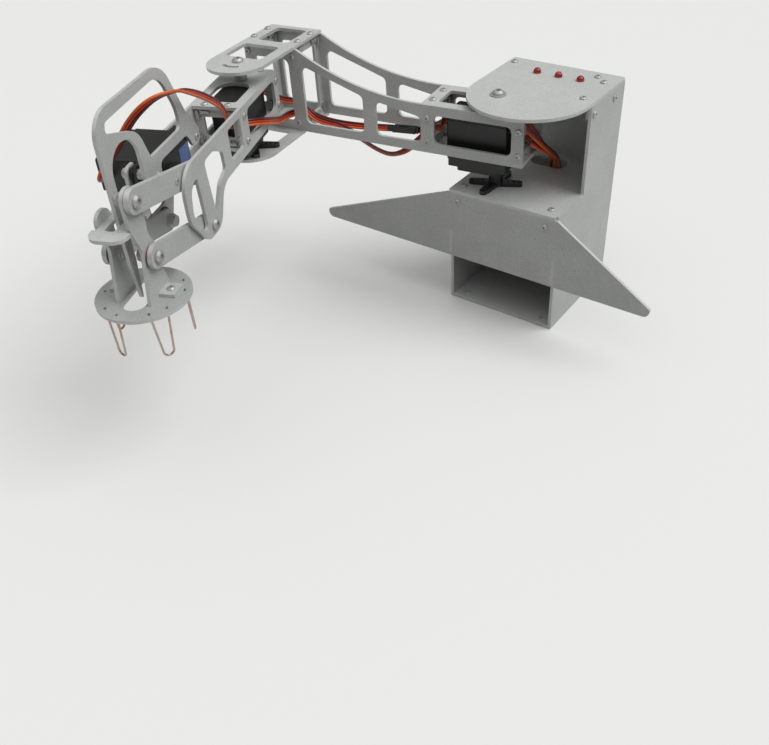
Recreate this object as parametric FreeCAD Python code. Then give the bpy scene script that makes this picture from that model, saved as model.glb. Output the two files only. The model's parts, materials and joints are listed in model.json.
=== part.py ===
import FreeCAD
import Part
import math
import os

V = FreeCAD.Vector
X_AXIS = V(1, 0, 0)
Y_AXIS = V(0, 1, 0)
Z_AXIS = V(0, 0, 1)

# All sizes are in millimetres and degrees.
# Frame: the origin lies under the shoulder axis on the base plane, +X right, +Y back, +Z up.

# Sheet, screws and clearances
sheet = 2.0
screw_r = 1.5
screw_head_r = 2.2
screw_head_h = 1.2
screw_room = 2.8  # from a row of screws to the end of its plate
head_rim = 0.45  # straight part of a pan head, share of its height
head_crown = 0.7  # flat top of a pan head, share of its radius
socket_r = 0.42  # hexagon socket of a head, share of the head's radius
socket_deep = 0.55  # depth of the socket, share of the head's height
screw_end = 0.5  # screw left past the last sheet that it holds
screw_grip = 4.5  # depth of a screw slot in a bulkhead edge
square_nut = 5.5
square_nut_t = 1.8
nut_cover = 1.2  # bulkhead left between its edge and a square nut
ear_nut_h = 2.4
ear_nut_r = 2.8
washer_rise = 0.8
pivot_r = 2.0
pivot_head_r = 3.6
pivot_head_h = 2.2
pivot_washer = 1.4  # washer radius, share of the head's
lock_nut_flats = 7.0
lock_nut_h = 4.5
lock_nut_hex = 0.7  # hexagon under the collar, share of the height
lock_nut_collar = 0.46  # collar radius, share of the flats
hole_gap = 0.05  # radial, screw in its hole
fit_gap = 0.06  # radial, pin that turns in its hole
run_gap = 0.3  # between bodies that move past each other
slide_gap = 0.1  # between a washer and the plate that it slides on
head_gap = 0.4  # between a screw head and the end of a servo ear
full_round = 0.98  # round of an end, share of its half width
window_r = 4.0
small_window_r = 2.0
window_gap = 1.2  # room for a plate's edge in a notch

# Hobby servo, measured from the face of its ears that seats on a plate
servo_length = 40.4
servo_width = 20.0
servo_depth = 25.5  # seat to case bottom
servo_crown = 10.2  # seat to case top
servo_cap_h = 5.0  # height of the top and bottom covers
servo_case_r = 1.0
servo_cap_r = 1.5
servo_step_r = 2.0
servo_seam = 0.3  # how far the covers stand back from the case
servo_inset = 10.2  # shaft axis to the nearer case end
servo_boss_r = 6.5
servo_boss_h = 3.0
servo_cover_half = 8.5  # raised cover over the gears
servo_cover_end = 6.0
servo_ear = 7.0
servo_ear_t = 2.5
servo_hole_out = 4.5  # case end to the ear holes
servo_hole_spread = 10.0
shaft_r = 2.95
shaft_sunk = 4.0  # shaft length inside the servo boss

# Servo horns
horn_arm_t = 2.5
horn_hub_r = 4.6
horn_root_half = 3.6
horn_tip_half = 2.3
horn_hole_r = 0.8
horn_hole_step = 3.5
shoulder_horn_reach = 17.5
shoulder_horn_angles = (22, 89, 202, 269)
elbow_horn_reach = 19.0
elbow_horn_angles = (135, 202, 315, 22)

# Tower
tower_left = -23.0
tower_right = 55.5
tower_front = -20.3
tower_back = 61.2
floor_top = 85.0
roof_top = 145.0
roof_corner_r = 1.5
roof_bow_y = 11.2  # centre of the round front edge of the roof
upper_wall_front = 14.7
wall_step_r = 1.5
apron_left = -129.5
apron_right = 120.5
apron_foot = 35.0
apron_end_h = 6.0
apron_corner_r = 4.0
tab_foot = 37.0  # tabs of the side walls that show in the apron
tab_h = 17.0
cable_hole = (15.0, 46.0)
cable_hole_length = 26.0
cable_hole_width = 14.0
bolt_pitch_x = 60.0
bolt_pitch_y = 64.0
bolt_hole_r = 2.25
bracket_leg = 9.0
bracket_width = 6.5
bracket_hole = 6.0
roof_bracket_x = (-18.5, 40.6)
wall_bracket_y = (18.6, 46.8)
floor_bracket_x = (-16.5, 47.1)
lamp_x = (3.4, 18.4, 33.4)
lamp_y = 43.2
lamp_r = 2.5
lamp_rim_r = 3.0
lamp_h = 3.2
lamp_depth = 3.6
lamp_rim_h = 1.0

# Upper arm, in its own frame: s along the arm from the shoulder axis, off to the near side, z up
arm_angle = -171.5
arm_half = 17.2
arm_bottom = 108.0
shoulder_top = 139.5
shoulder_post = 9.1  # width of a side plate beside a bulkhead of the shoulder box
elbow_top = 163.0
elbow_s = 154.0
elbow_off = 51.2
tongue_half = 19.8
elbow_inner = 133.0  # where the plates reach the height of the elbow
band = 6.0  # edge band left around the windows of a side plate
box_end = 3.1  # sheet left past the bulkhead at the end of a box
mid_post = (77.0, 86.0)
elbow_post = (6.5, 3.0)  # side plate before and behind the inner elbow bulkhead
elbow_end_post = 4.0
shoulder_window = (114.4, 133.3)
mid_window_tops = (131.0, 137.0, 138.7, 153.6)
elbow_window_top = 156.0
shoulder_bolts_z = (115.5, 131.0)
elbow_bolts_z = (114.0, 158.5)
cross_bolts_off = 8.0
frame_window_start = 14.0
bulkhead_rim = 5.5  # width of a bulkhead beside its window
tongue_window_gap = 8.0  # sheet beside the windows of a tongue
tongue_rear_window = 12.5
tongue_window_r = 3.0
tongue_front_window = (21.0, 44.5)
tongue_front_gap = 4.5  # the same at the outer edge of the front window
slot_bow_r = 9.5
slot_bow_half = 38.0
slot_bow_w = 2.2
spacer_r = 4.2

# Forearm, in its own frame: a along the forearm from the elbow axis, b to the near side, z up
fore_angle = -68.0
fore_half = 16.8
fore_bottom = 125.5
fore_top = 153.5
rear_room = 4.3  # between the elbow servo and the rear bulkhead
fore_bolts_z = (132.0, 147.6)
fore_bolts_b = 7.5
fore_window = (130.8, 149.3)
fore_window_ends = (-12.0, 35.5)
lid_window_start = 6.0
lid_window_r = 9.0
lid_rim = 4.0
post_front = 47.0
boot_front = 128.6
boot_sole = 6.1  # sheet under the lower pivots
boot_corner_r = 16.0
far_boot_corner_r = 5.0
boot_knee = (82.5, 124.0)  # corners of the boot under the lift servo
boot_knee_r = 14.0
boot_heel = 93.5
boot_foot_r = 11.0
boot_toe = 112.5
boot_nose_z = 123.5
middle_window_end = 66.0
rear_slot = ((76.0, 130.6, 3.0), (86.5, 127.0, 8.0), (97.6, 112.0, 1.2), (101.0, 146.8, 3.0),
             (89.0, 147.4, 6.0), (76.5, 141.5, 3.0))
front_slot = ((110.2, 110.0, 2.0), (118.5, 113.5, 8.0), (124.0, 126.0, 12.0), (121.5, 139.5, 9.0),
              (112.2, 144.0, 2.0))
far_low_window = (96.0, 117.5, 115.0, 128.5, 4.5)

# Lift linkage in the forearm frame, as (a, z) points
shaft_point = (109.0, 144.0)
lower_point = (103.0, 109.5)
link_reach = (61.0, 15.5)
link_half = 6.5
upper_link_t = 3.0
lower_link_t = 2.6
washer_t = 1.2  # between a carrier and a lower link
washer_r = 5.5
boot_washer_r = 7.5
upper_link_b = 10.6
lift_horn_arm_b = 3.2
lift_horn_reach = 23.0
lift_horn_back = 0.6  # rear arm of the horn, share of the front one
lift_screw_steps = (11.0, 20.0)
lift_screw_r = 1.0
lift_screw_head_r = 2.0
lift_screw_head_h = 0.8
lift_spacer_r = 2.6
grommet_t = 2.1
grommet_r = 3.4

# Ejector plate in the forearm frame
ejector_top = 200.0
ejector_front = 169.6
ejector_leg = 6.0
ejector_tip = 100.3
ejector_taper = 22.0
ejector_tip_w = 1.2
strut_gap = 0.5  # between the lift servo and the strut above it
strut_h = 6.0
ear_pad = 4.5  # half width of the ejector's feet
ear_pad_r = 4.0
loop_rear = (5.9, 22.7)  # rear bow of the loop, from the rear foot
loop_inner = (15.3, 27.2)  # the same for its window
loop_heights = (0.114, 0.2785)  # where the rear bows start, shares of the loop's height
arch_foot = (12.3, 13.1)  # front post of the loop, from the front foot
arch_inner = (2.7, 9.3)
arch_heights = (0.43, 0.456, 0.557)  # front post, its window and the arch, shares of the loop's height
eye_heights = (0.711, 0.838, 0.873)  # corners of the window at the leg and under the top
eye_gaps = (2.6, 4.6)  # sheet between the window and the leg
rear_bow_r = 20.0
crown_r = 14.0
arch_r = 13.0
strut_r = 5.0
eye_r = 2.4
eye_bow_r = (16.0, 25.0)
standoff_r = 3.0

# Gripper in the forearm frame
carrier_b = 8.2  # inner face of the carriers
carrier_lobe = 6.6
carrier_r = 9.0
carrier_foot = (12.0, 11.6)  # rear and front of a carrier on the disc, from the wrist
carrier_waist = (2.6, 5.6)
carrier_waist_z = (135.5, 130.0)
carrier_neck = (3.4, 11.6)
carrier_neck_z = (146.0, 145.0)
carrier_shin = (5.0, 8.0)  # straight rear edge above and below the wrist
far_carrier_front = 12.6
far_carrier_r = 6.0
far_carrier_top = 151.8
disc_r = 25.8
disc_top = 101.0
disc_slot_half = 16.6
disc_slot_r = 6.5
foot_length = 11.0
foot_reach = 9.0
foot_back = 9.0
foot_screw_back = 3.5
guide_top = 145.5
guide_length = 36.0
guide_half = 10.5
guide_corner_r = 7.5
guide_slot_r = 1.5
guide_ahead = 4.0
guide_slot = (160.6, 176.6)
guide_slot_b = (-4.0, 1.8)
finger_r = 0.6
finger_ring = 22.0
finger_first = 46.5
finger_count = 5
finger_spread = 13.0  # half angle between the legs of a finger at the disc
finger_foot_spread = 7.0
finger_drop = 26.0
finger_bend_r = 3.0
finger_stub = 0.7

# Leads
lead_r = 1.2
lead_over_z = 135.6  # height of the leads over the shoulder servo
tail_start = 17.0
plug_start = 80.5
plug_off = -5.0
plug_z = 111.3
plug_length = 24.0
plug_width = 8.0
plug_height = 3.4
plug_edge_r = 0.6
lead_bend = 0.45  # share of the shorter run that a bend takes up

# Sizes that follow from the ones above
servo_hole_pitch = servo_length + 2 * servo_hole_out
arm_inner = arm_half - sheet
ear_front = servo_length - servo_inset + servo_ear
ear_rear = -servo_inset - servo_ear
head_room = head_gap + screw_room
elbow_rear = elbow_s - tongue_half
elbow_end = elbow_s + tongue_half
arm_bulkheads = (ear_rear - head_room, ear_front + head_room,
                 elbow_rear + screw_room, elbow_end - screw_room)
arm_rear = arm_bulkheads[0] - box_end
shoulder_end = arm_bulkheads[1] + shoulder_post / 2
fore_bulkheads = (-servo_inset - rear_room - sheet / 2, ear_front + head_room)
fore_rear = fore_bulkheads[0] - box_end
fore_front = fore_bulkheads[1] + box_end
fore_inner = fore_half - sheet
carrier_outer = carrier_b + sheet
upper_link_face = upper_link_b + upper_link_t
lower_link_b = carrier_outer + washer_t + slide_gap
lower_link_face = lower_link_b + lower_link_t
boot_washer_t = fore_inner - lower_link_face - slide_gap
upper_point = (shaft_point[0] + link_reach[0], shaft_point[1] + link_reach[1])
wrist_point = (lower_point[0] + link_reach[0], lower_point[1] + link_reach[1])
link_angle = math.degrees(math.atan2(link_reach[1], link_reach[0]))
link_length = math.hypot(*link_reach)
lift_seat_b = -fore_inner + grommet_t
disc_a = wrist_point[0]
boot_foot = lower_point[1] - boot_sole
strut_foot = shaft_point[1] + servo_width / 2 + strut_gap
loop_sill = strut_foot + strut_h
lift_end = shaft_point[0] + servo_inset
lift_start = lift_end - servo_length
roof_r = (tower_right - tower_left) / 2
roof_mid_x = (tower_right + tower_left) / 2

nodes = {}


# Shape helpers

def outline(corners):
    # A closed wire in the XY plane; a corner is (x, y) or (x, y, radius)
    # Two rounds that meet on a short edge share its length
    count = len(corners)
    spots = [V(corner[0], corner[1], 0) for corner in corners]
    turns = []
    reaches = []
    for i in range(count):
        back = (spots[i - 1] - spots[i]).normalize()
        ahead = (spots[(i + 1) % count] - spots[i]).normalize()
        half = back.getAngle(ahead) / 2
        turns.append((back, ahead, half))
        reaches.append(corners[i][2] / math.tan(half) if len(corners[i]) > 2 else 0)
    shares = [1.0] * count
    for i in range(count):
        pair = (i, (i + 1) % count)
        wanted = reaches[pair[0]] + reaches[pair[1]]
        room = spots[pair[0]].distanceToPoint(spots[pair[1]])
        for j in pair:
            shares[j] = min(shares[j], room / wanted if wanted > room else 1.0)
    ends = []
    for here, (back, ahead, half), reach, share in zip(spots, turns, reaches, shares):
        if reach <= 0:
            ends.append((here, None, here))
            continue
        reach = reach * share
        middle = (back + ahead).normalize()
        bow = here + middle * (reach / math.cos(half) - reach * math.tan(half))
        ends.append((here + back * reach, bow, here + ahead * reach))
    edges = []
    for i in range(count):
        start, bow, stop = ends[i]
        if bow is not None:
            edges.append(Part.Arc(start, bow, stop).toShape())
        onward = ends[(i + 1) % count][0]
        if stop.distanceToPoint(onward) > 1e-6:
            edges.append(Part.makeLine(stop, onward))
    return Part.Wire(edges)


def rectangle(x0, y0, x1, y1, radius=0):
    return [(x0, y0, radius), (x1, y0, radius), (x1, y1, radius), (x0, y1, radius)]


def flat(corners, thickness=sheet, windows=(), holes=()):
    # A plate on the XY plane with windows (corner lists) and round holes (x, y, radius)
    body = Part.Face(outline(corners)).extrude(Z_AXIS * thickness)
    tools = [Part.Face(outline(window)).extrude(Z_AXIS * thickness) for window in windows]
    tools += [Part.makeCylinder(r, thickness, V(x, y, 0)) for x, y, r in holes]
    return body.cut(tools) if tools else body


def lifted(shape, z):
    shape.translate(Z_AXIS * z)
    return shape


def upright(shape, b):
    # Stands a plate up so that its Y becomes Z; its lower face comes to lie at b, its body below b
    shape.rotate(V(), X_AXIS, 90)
    shape.translate(Y_AXIS * b)
    return shape


def crosswise(shape, a):
    # Stands a plate across the arm: its X becomes Y, its Y becomes Z, and it grows from a along X
    shape.rotate(V(), V(1, 1, 1), 120)
    shape.translate(X_AXIS * a)
    return shape


def block(x0, x1, y0, y1, z0, z1):
    return Part.makeBox(x1 - x0, y1 - y0, z1 - z0, V(x0, y0, z0))


def aimed(shape, point, direction):
    shape.Placement = FreeCAD.Placement(point, FreeCAD.Rotation(Z_AXIS, direction)).multiply(shape.Placement)
    return shape


def oriented(shape, point, along, out):
    # Puts a shape at a point with its X axis along one direction and its Z axis out along another
    rotation = FreeCAD.Rotation(along, out.cross(along), out, "ZXY")
    shape.Placement = FreeCAD.Placement(point, rotation).multiply(shape.Placement)
    return shape


def turned(profile):
    # A solid of revolution about Z from (radius, z) corners
    face = Part.Face(Part.makePolygon([V(r, 0, z) for r, z in profile + profile[:1]]))
    return face.revolve(V(), Z_AXIS, 360)


def hexagon(corner):
    # Corners of a hexagon, at a distance from its middle
    turns = [math.radians(60 * i) for i in range(6)]
    return [(corner * math.cos(turn), corner * math.sin(turn)) for turn in turns]


def pan_screw(length, radius=screw_r, head_r=screw_head_r, head_h=screw_head_h):
    # Seat of the head at z = 0, shank downwards
    body = turned([(0, -length), (radius, -length), (radius, 0), (head_r, 0), (head_r, head_h * head_rim),
                   (head_r * head_crown, head_h), (0, head_h)])
    deep = head_h * socket_deep
    return body.cut(lifted(flat(hexagon(head_r * socket_r), deep), head_h - deep))


def ring(outer, inner, height):
    return Part.makeCylinder(outer, height).cut(Part.makeCylinder(inner, height))


def lock_nut(radius=pivot_r):
    # A hexagon nut with a round collar; it seats at z = 0 and grows upwards
    nut = flat(hexagon(lock_nut_flats / math.sqrt(3)), lock_nut_h * lock_nut_hex)
    collar = Part.makeCylinder(lock_nut_flats * lock_nut_collar, lock_nut_h)
    return nut.fuse(collar).cut(Part.makeCylinder(radius + hole_gap, lock_nut_h))


def drill(shape, pins, gap=hole_gap):
    # Holes for pins given as (point under the head, direction of the head, length, radius)
    tools = []
    for point, direction, length, radius in pins:
        start = point + direction * sheet
        tools.append(Part.makeCylinder(radius + gap, length + 2 * sheet, start, -direction))
    return shape.cut(tools)


def add(name, *shapes):
    solids = []
    for shape in shapes:
        solids += shape.Solids
    nodes[name] = nodes.get(name, []) + solids


# Parts that several places share

def servo_case():
    # Output along +Z on the Z axis, seat of the ears at z = 0, case along +X
    x0 = -servo_inset
    x1 = servo_length - servo_inset
    half = servo_width / 2
    middle = flat(rectangle(x0, -half, x1, half, servo_case_r), servo_depth + servo_crown - 2 * servo_cap_h)
    middle.translate(Z_AXIS * (servo_cap_h - servo_depth))
    ear_holes = [(x, y, screw_r + hole_gap) for x, y in servo_holes()]
    ear_edge = rectangle(x0 - servo_ear, -half, x1 + servo_ear, half, servo_case_r)
    ears = flat(ear_edge, servo_ear_t, holes=ear_holes)
    inset = rectangle(x0 + servo_seam, servo_seam - half, x1 - servo_seam, half - servo_seam, servo_cap_r)
    bottom = lifted(flat(inset, servo_cap_h), -servo_depth)
    top = lifted(flat(inset, servo_cap_h), servo_crown - servo_cap_h)
    cover_end = x1 - servo_cover_end
    cover_edge = [(-servo_boss_r, -servo_cover_half, servo_boss_r), (cover_end, -servo_cover_half, servo_step_r),
                  (cover_end, servo_cover_half, servo_step_r), (-servo_boss_r, servo_cover_half, servo_boss_r)]
    cover = lifted(flat(cover_edge, servo_boss_h), servo_crown)
    bore_h = shaft_sunk + run_gap
    bore = Part.makeCylinder(shaft_r + fit_gap, bore_h, V(0, 0, servo_face() - bore_h))
    top = top.fuse(cover).cut(bore)
    return [middle.fuse(ears), bottom, top]


def servo_face():
    return servo_crown + servo_boss_h


def servo_holes():
    middle = servo_length / 2 - servo_inset
    return [(middle + i * servo_hole_pitch / 2, j * servo_hole_spread / 2) for i in (-1, 1) for j in (-1, 1)]


def horn(angles, reaches, hub_h):
    # Arms on the XY plane, hub upwards, bored for the servo shaft
    body = Part.makeCylinder(horn_hub_r, hub_h)
    for angle, reach in zip(angles, reaches):
        tip_r = horn_tip_half * full_round
        steps = int((reach - horn_hub_r - horn_tip_half) / horn_hole_step)
        holes = [(reach - horn_tip_half - i * horn_hole_step, 0, horn_hole_r) for i in range(steps)]
        arm = flat([(0, -horn_root_half), (reach, -horn_tip_half, tip_r), (reach, horn_tip_half, tip_r),
                    (0, horn_root_half)], horn_arm_t, holes=holes)
        arm.rotate(V(), Z_AXIS, angle)
        body = body.fuse(arm)
    return body.cut(Part.makeCylinder(shaft_r + hole_gap, hub_h))


def bracket(corner, first, second):
    # An angle bracket in the corner between two sheets, with its two screws from outside
    third = first.cross(second)
    shape = [(0, 0), (bracket_leg, 0), (bracket_leg, sheet), (sheet, sheet), (sheet, bracket_leg),
             (0, bracket_leg)]
    points = [corner + first * x + second * y - third * (bracket_width / 2) for x, y in shape + shape[:1]]
    body = Part.Face(Part.makePolygon(points)).extrude(third * bracket_width)
    length = 2 * sheet + screw_end
    pins = [(corner + first * bracket_hole - second * sheet, -second, length, screw_r),
            (corner + second * bracket_hole - first * sheet, -first, length, screw_r)]
    return drill(body, pins), pins


def screws_for(pins):
    return [aimed(pan_screw(length, radius), point, direction) for point, direction, length, radius in pins]


class Bulkhead:
    # A cross plate with bolts into its edges: square nuts held in slots, screws from outside
    def __init__(self, a, half, span, window, side_z, top_b, foot_b):
        z0, z1 = span
        plate = flat(rectangle(-half, z0, half, z1), sheet, windows=[window])
        plate = crosswise(plate, a - sheet / 2)
        cuts = []
        self.pins = []
        self.nuts = []
        for side in (-1, 1):
            for z in side_z:
                self.seat(cuts, V(a, side * half, z), Y_AXIS * side)
            if top_b:
                self.seat(cuts, V(a, side * top_b, z1), Z_AXIS)
            if foot_b:
                self.seat(cuts, V(a, side * foot_b, z0), -Z_AXIS)
        self.plate = plate.cut(cuts)

    def seat(self, cuts, edge, out):
        slot_half = screw_r + hole_gap
        room = Part.makeBox(2 * sheet, 2 * slot_half, screw_grip, V(-sheet, -slot_half, -screw_grip))
        pocket_half = square_nut / 2 + hole_gap
        pocket_t = square_nut_t + 2 * hole_gap
        deep = nut_cover + square_nut_t + hole_gap
        pocket = Part.makeBox(2 * sheet, 2 * pocket_half, pocket_t, V(-sheet, -pocket_half, -deep - hole_gap))
        nut = Part.makeBox(square_nut, square_nut, square_nut_t, V(-square_nut / 2, -square_nut / 2, -deep))
        nut = nut.cut(Part.makeCylinder(screw_r + hole_gap, square_nut_t, V(0, 0, -deep)))
        angle = math.degrees(math.atan2(-out.y, out.z))
        for shape in (room, pocket, nut):
            shape.rotate(V(), X_AXIS, angle)
            shape.translate(edge)
        cuts += [room, pocket]
        self.nuts.append(nut)
        self.pins.append((edge + out * sheet, out, sheet + screw_grip - run_gap, screw_r))


# Tower

inner_left = tower_left + sheet
inner_right = tower_right - sheet
inner_front = tower_front + sheet
inner_back = tower_back - sheet
under_floor = floor_top - sheet
under_roof = roof_top - sheet

tower_pins = []
brackets = []
tower_corners = [(V(inner_right, y, under_roof), -X_AXIS, -Z_AXIS) for y in wall_bracket_y]
tower_corners += [(V(x, inner_back, under_roof), -Y_AXIS, -Z_AXIS) for x in roof_bracket_x]
tower_corners += [(V(x, inner_front, under_floor), Y_AXIS, -Z_AXIS) for x in floor_bracket_x]
for corner, first, second in tower_corners:
    solid, pins = bracket(corner, first, second)
    brackets.append(solid)
    tower_pins += pins
add("corner_brackets", *brackets)
add("tower_screws", *screws_for(tower_pins))

bolt_mid_x = roof_mid_x
bolt_mid_y = (tower_front + tower_back) / 2
bolts = [(bolt_mid_x + i * bolt_pitch_x / 2, bolt_mid_y + j * bolt_pitch_y / 2, bolt_hole_r)
         for i in (-1, 1) for j in (-1, 1)]
add("base_plate", flat(rectangle(inner_left, inner_front, inner_right, inner_back), holes=bolts))

half_hole = cable_hole_width / 2
half_length = cable_hole_length / 2
cable_slot = rectangle(cable_hole[0] - half_length, cable_hole[1] - half_hole,
                       cable_hole[0] + half_length, cable_hole[1] + half_hole, half_hole * full_round)
floor_plate = flat(rectangle(tower_left, tower_front, inner_right, inner_back), windows=[cable_slot])
add("floor_plate", drill(lifted(floor_plate, under_floor), tower_pins))

tab_top = tab_foot + tab_h
front_tab = [(inner_front, tab_top), (tower_front, tab_top), (tower_front, tab_foot), (inner_front, tab_foot)]
left_corners = [(inner_front, 0), (inner_back, 0), (inner_back, under_floor), (inner_front, under_floor)]
add("left_wall", crosswise(flat(left_corners + front_tab), tower_left))

right_corners = [(inner_front, 0), (tower_back, 0), (tower_back, under_roof), (upper_wall_front, under_roof),
                 (upper_wall_front, floor_top, wall_step_r), (inner_front, floor_top)]
add("right_wall", drill(crosswise(flat(right_corners + front_tab), inner_right), tower_pins))

rear_wall = upright(flat(rectangle(tower_left, 0, inner_right, under_roof)), tower_back)
add("rear_wall", drill(rear_wall, tower_pins))

apron_corners = [(apron_left, apron_foot, apron_corner_r), (apron_right, apron_foot, apron_corner_r),
                 (apron_right, apron_foot + apron_end_h, apron_corner_r / 2), (tower_right, under_floor),
                 (tower_left, under_floor), (apron_left, apron_foot + apron_end_h, apron_corner_r / 2)]
tab_slots = [rectangle(x - hole_gap, tab_foot - hole_gap, x + sheet + hole_gap, tab_top + hole_gap)
             for x in (tower_left, inner_right)]
add("front_apron", drill(upright(flat(apron_corners, windows=tab_slots), inner_front), tower_pins))

roof_corners = [(tower_left, tower_back, roof_corner_r), (tower_left, roof_bow_y - roof_r, roof_r),
                (tower_right, roof_bow_y - roof_r, roof_r), (tower_right, tower_back, roof_corner_r)]
roof_holes = [(x, lamp_y, lamp_r + hole_gap) for x in lamp_x]
roof_holes.append((0, 0, pivot_r + hole_gap))
add("top_plate", drill(lifted(flat(roof_corners, holes=roof_holes), under_roof), tower_pins))

for x in lamp_x:
    dome = Part.makeSphere(lamp_r, V(0, 0, lamp_h - lamp_r), Z_AXIS, 0, 90)
    stem = Part.makeCylinder(lamp_r, lamp_h + lamp_depth - lamp_r, V(0, 0, -lamp_depth))
    rim = Part.makeCylinder(lamp_rim_r, lamp_rim_h, V(0, 0, -sheet - lamp_rim_h))
    lamp = stem.fuse([dome, rim])
    lamp.translate(V(x, lamp_y, roof_top))
    add("indicator_lamps", lamp)

# The shoulder horn on the floor, the shaft that it holds and the pivot screw in the roof
shoulder_face = arm_bottom - servo_face()
hub_h = shoulder_face - run_gap - floor_top
reaches = [shoulder_horn_reach] * len(shoulder_horn_angles)
add("shoulder_horn", lifted(horn(shoulder_horn_angles, reaches, hub_h), floor_top))
shaft_rise = hub_h + run_gap + shaft_sunk
add("shoulder_horn", Part.makeCylinder(shaft_r, shaft_rise, V(0, 0, floor_top)))
pivot_length = washer_rise + roof_top - (shoulder_top - sheet)
pivot = lifted(pan_screw(pivot_length, pivot_r, pivot_head_r, pivot_head_h), roof_top + washer_rise)
nut_room = under_roof - shoulder_top - run_gap
washer = lifted(ring(pivot_head_r * pivot_washer, pivot_r + hole_gap, washer_rise), roof_top)
collar = lifted(ring(pivot_head_r, pivot_r + hole_gap, nut_room), shoulder_top + run_gap)
add("shoulder_pivot", pivot, washer, collar)

# Upper arm

rise = elbow_top - shoulder_top
run = elbow_inner - shoulder_end
rise_r = (run * run + rise * rise) / (2 * rise)


def arm_plate():
    # The top edge climbs from the shoulder box to the elbow box on one arc
    mid_s = shoulder_end + run / 2
    mid_z = shoulder_top + rise_r - math.sqrt(rise_r * rise_r - run * run / 4)
    points = [V(arm_rear, arm_bottom, 0), V(elbow_end, arm_bottom, 0), V(elbow_end, elbow_top, 0),
              V(elbow_inner, elbow_top, 0), V(shoulder_end, shoulder_top, 0), V(arm_rear, shoulder_top, 0)]
    edges = [Part.makeLine(points[i], points[i + 1]) for i in (0, 1, 2)]
    edges.append(Part.Arc(points[3], V(mid_s, mid_z, 0), points[4]).toShape())
    edges.append(Part.makeLine(points[4], points[5]))
    edges.append(Part.makeLine(points[5], points[0]))
    body = Part.Face(Part.Wire(edges)).extrude(Z_AXIS * sheet)
    sill = arm_bottom + band
    tops = mid_window_tops
    stops = (arm_bulkheads[0] + shoulder_post / 2, arm_bulkheads[1] - shoulder_post / 2, shoulder_end,
             mid_post[0], mid_post[1], arm_bulkheads[2] - elbow_post[0], arm_bulkheads[2] + elbow_post[1],
             arm_bulkheads[3] - elbow_end_post)
    windows = [rectangle(stops[0], shoulder_window[0], stops[1], shoulder_window[1], window_r)]
    for i in (0, 1):
        left = stops[2 + 2 * i]
        right = stops[3 + 2 * i]
        windows.append([(left, sill, window_r), (right, sill, window_r), (right, tops[2 * i + 1], window_r),
                        (left, tops[2 * i], window_r)])
    windows.append(rectangle(stops[6], sill, stops[7], elbow_window_top, window_r))
    return body.cut([Part.Face(outline(window)).extrude(Z_AXIS * sheet) for window in windows])


servo_plate_z = arm_bottom + sheet
slot_room = screw_grip + sheet / 2  # sheet kept beside a screw slot
room_half = arm_inner - bulkhead_rim
shoulder_span = (servo_plate_z, shoulder_top - sheet)
elbow_span = (arm_bottom, elbow_top)


def opening(half, span, top_room=slot_room):
    # The window of a bulkhead between its screw slots
    return rectangle(-half, span[0] + slot_room, half, span[1] - top_room, small_window_r)


shoulder_room = opening(room_half, shoulder_span)
lead_room = opening(room_half, shoulder_span, sheet)
elbow_room = opening(room_half, elbow_span)
bulkhead_names = ("shoulder_end_bulkhead", "shoulder_inner_bulkhead",
                  "elbow_inner_bulkhead", "elbow_end_bulkhead")
arm_pins = []
arm_nuts = []
arm_parts = {}
for i, name in enumerate(bulkhead_names):
    span = shoulder_span if i < 2 else elbow_span
    room = (lead_room, shoulder_room, elbow_room, elbow_room)[i]
    top_bolts = cross_bolts_off if i else 0
    bolts_z = shoulder_bolts_z if i < 2 else elbow_bolts_z
    bulkhead = Bulkhead(arm_bulkheads[i], arm_inner, span, room, bolts_z, top_bolts, cross_bolts_off)
    arm_parts[name] = [bulkhead.plate]
    arm_pins += bulkhead.pins
    arm_nuts += bulkhead.nuts

arm_parts["near_arm_plate"] = [drill(upright(arm_plate(), arm_half), arm_pins)]
arm_parts["far_arm_plate"] = [drill(upright(arm_plate(), -arm_inner), arm_pins)]

frame_window = rectangle(frame_window_start, -room_half, arm_bulkheads[1] - shoulder_post / 2, room_half,
                         small_window_r)
top_frame = flat(rectangle(arm_rear, -arm_inner, shoulder_end, arm_inner), windows=[frame_window],
                 holes=[(0, 0, pivot_r + fit_gap)])
arm_parts["shoulder_top_frame"] = [drill(lifted(top_frame, shoulder_top - sheet), arm_pins)]

servo_half = servo_width / 2 + run_gap
servo_cut = rectangle(-servo_inset - run_gap, -servo_half, servo_length - servo_inset + run_gap, servo_half,
                      servo_case_r)
ear_holes = [(x, y, screw_r + hole_gap) for x, y in servo_holes()]
shoulder_edge = rectangle(arm_rear, -arm_inner, shoulder_end, arm_inner)
servo_plate = flat(shoulder_edge, windows=[servo_cut], holes=ear_holes)
arm_parts["shoulder_servo_plate"] = [drill(lifted(servo_plate, arm_bottom), arm_pins)]


def down_servo(seat):
    # A servo with its output downwards and its ears under a plate at the height of the seat
    return [oriented(solid, V(0, 0, seat), X_AXIS, -Z_AXIS) for solid in servo_case()]


def ear_screws(seat):
    # Screws through the ears into the plate above them
    return [(V(x, y, seat - servo_ear_t), -Z_AXIS, servo_ear_t + sheet, screw_r) for x, y in servo_holes()]


arm_parts["shoulder_servo"] = down_servo(arm_bottom)
ear_pins = ear_screws(arm_bottom)
arm_parts["upper_arm_screws"] = screws_for(arm_pins) + arm_nuts + screws_for(ear_pins)


def tongue(windows, holes):
    side = -arm_half
    tip = elbow_off + tongue_half
    corners = [(elbow_rear, side), (elbow_end, side), (elbow_end, tip, tongue_half * full_round),
               (elbow_rear, tip, tongue_half * full_round)]
    return flat(corners, windows=windows, holes=holes)


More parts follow.
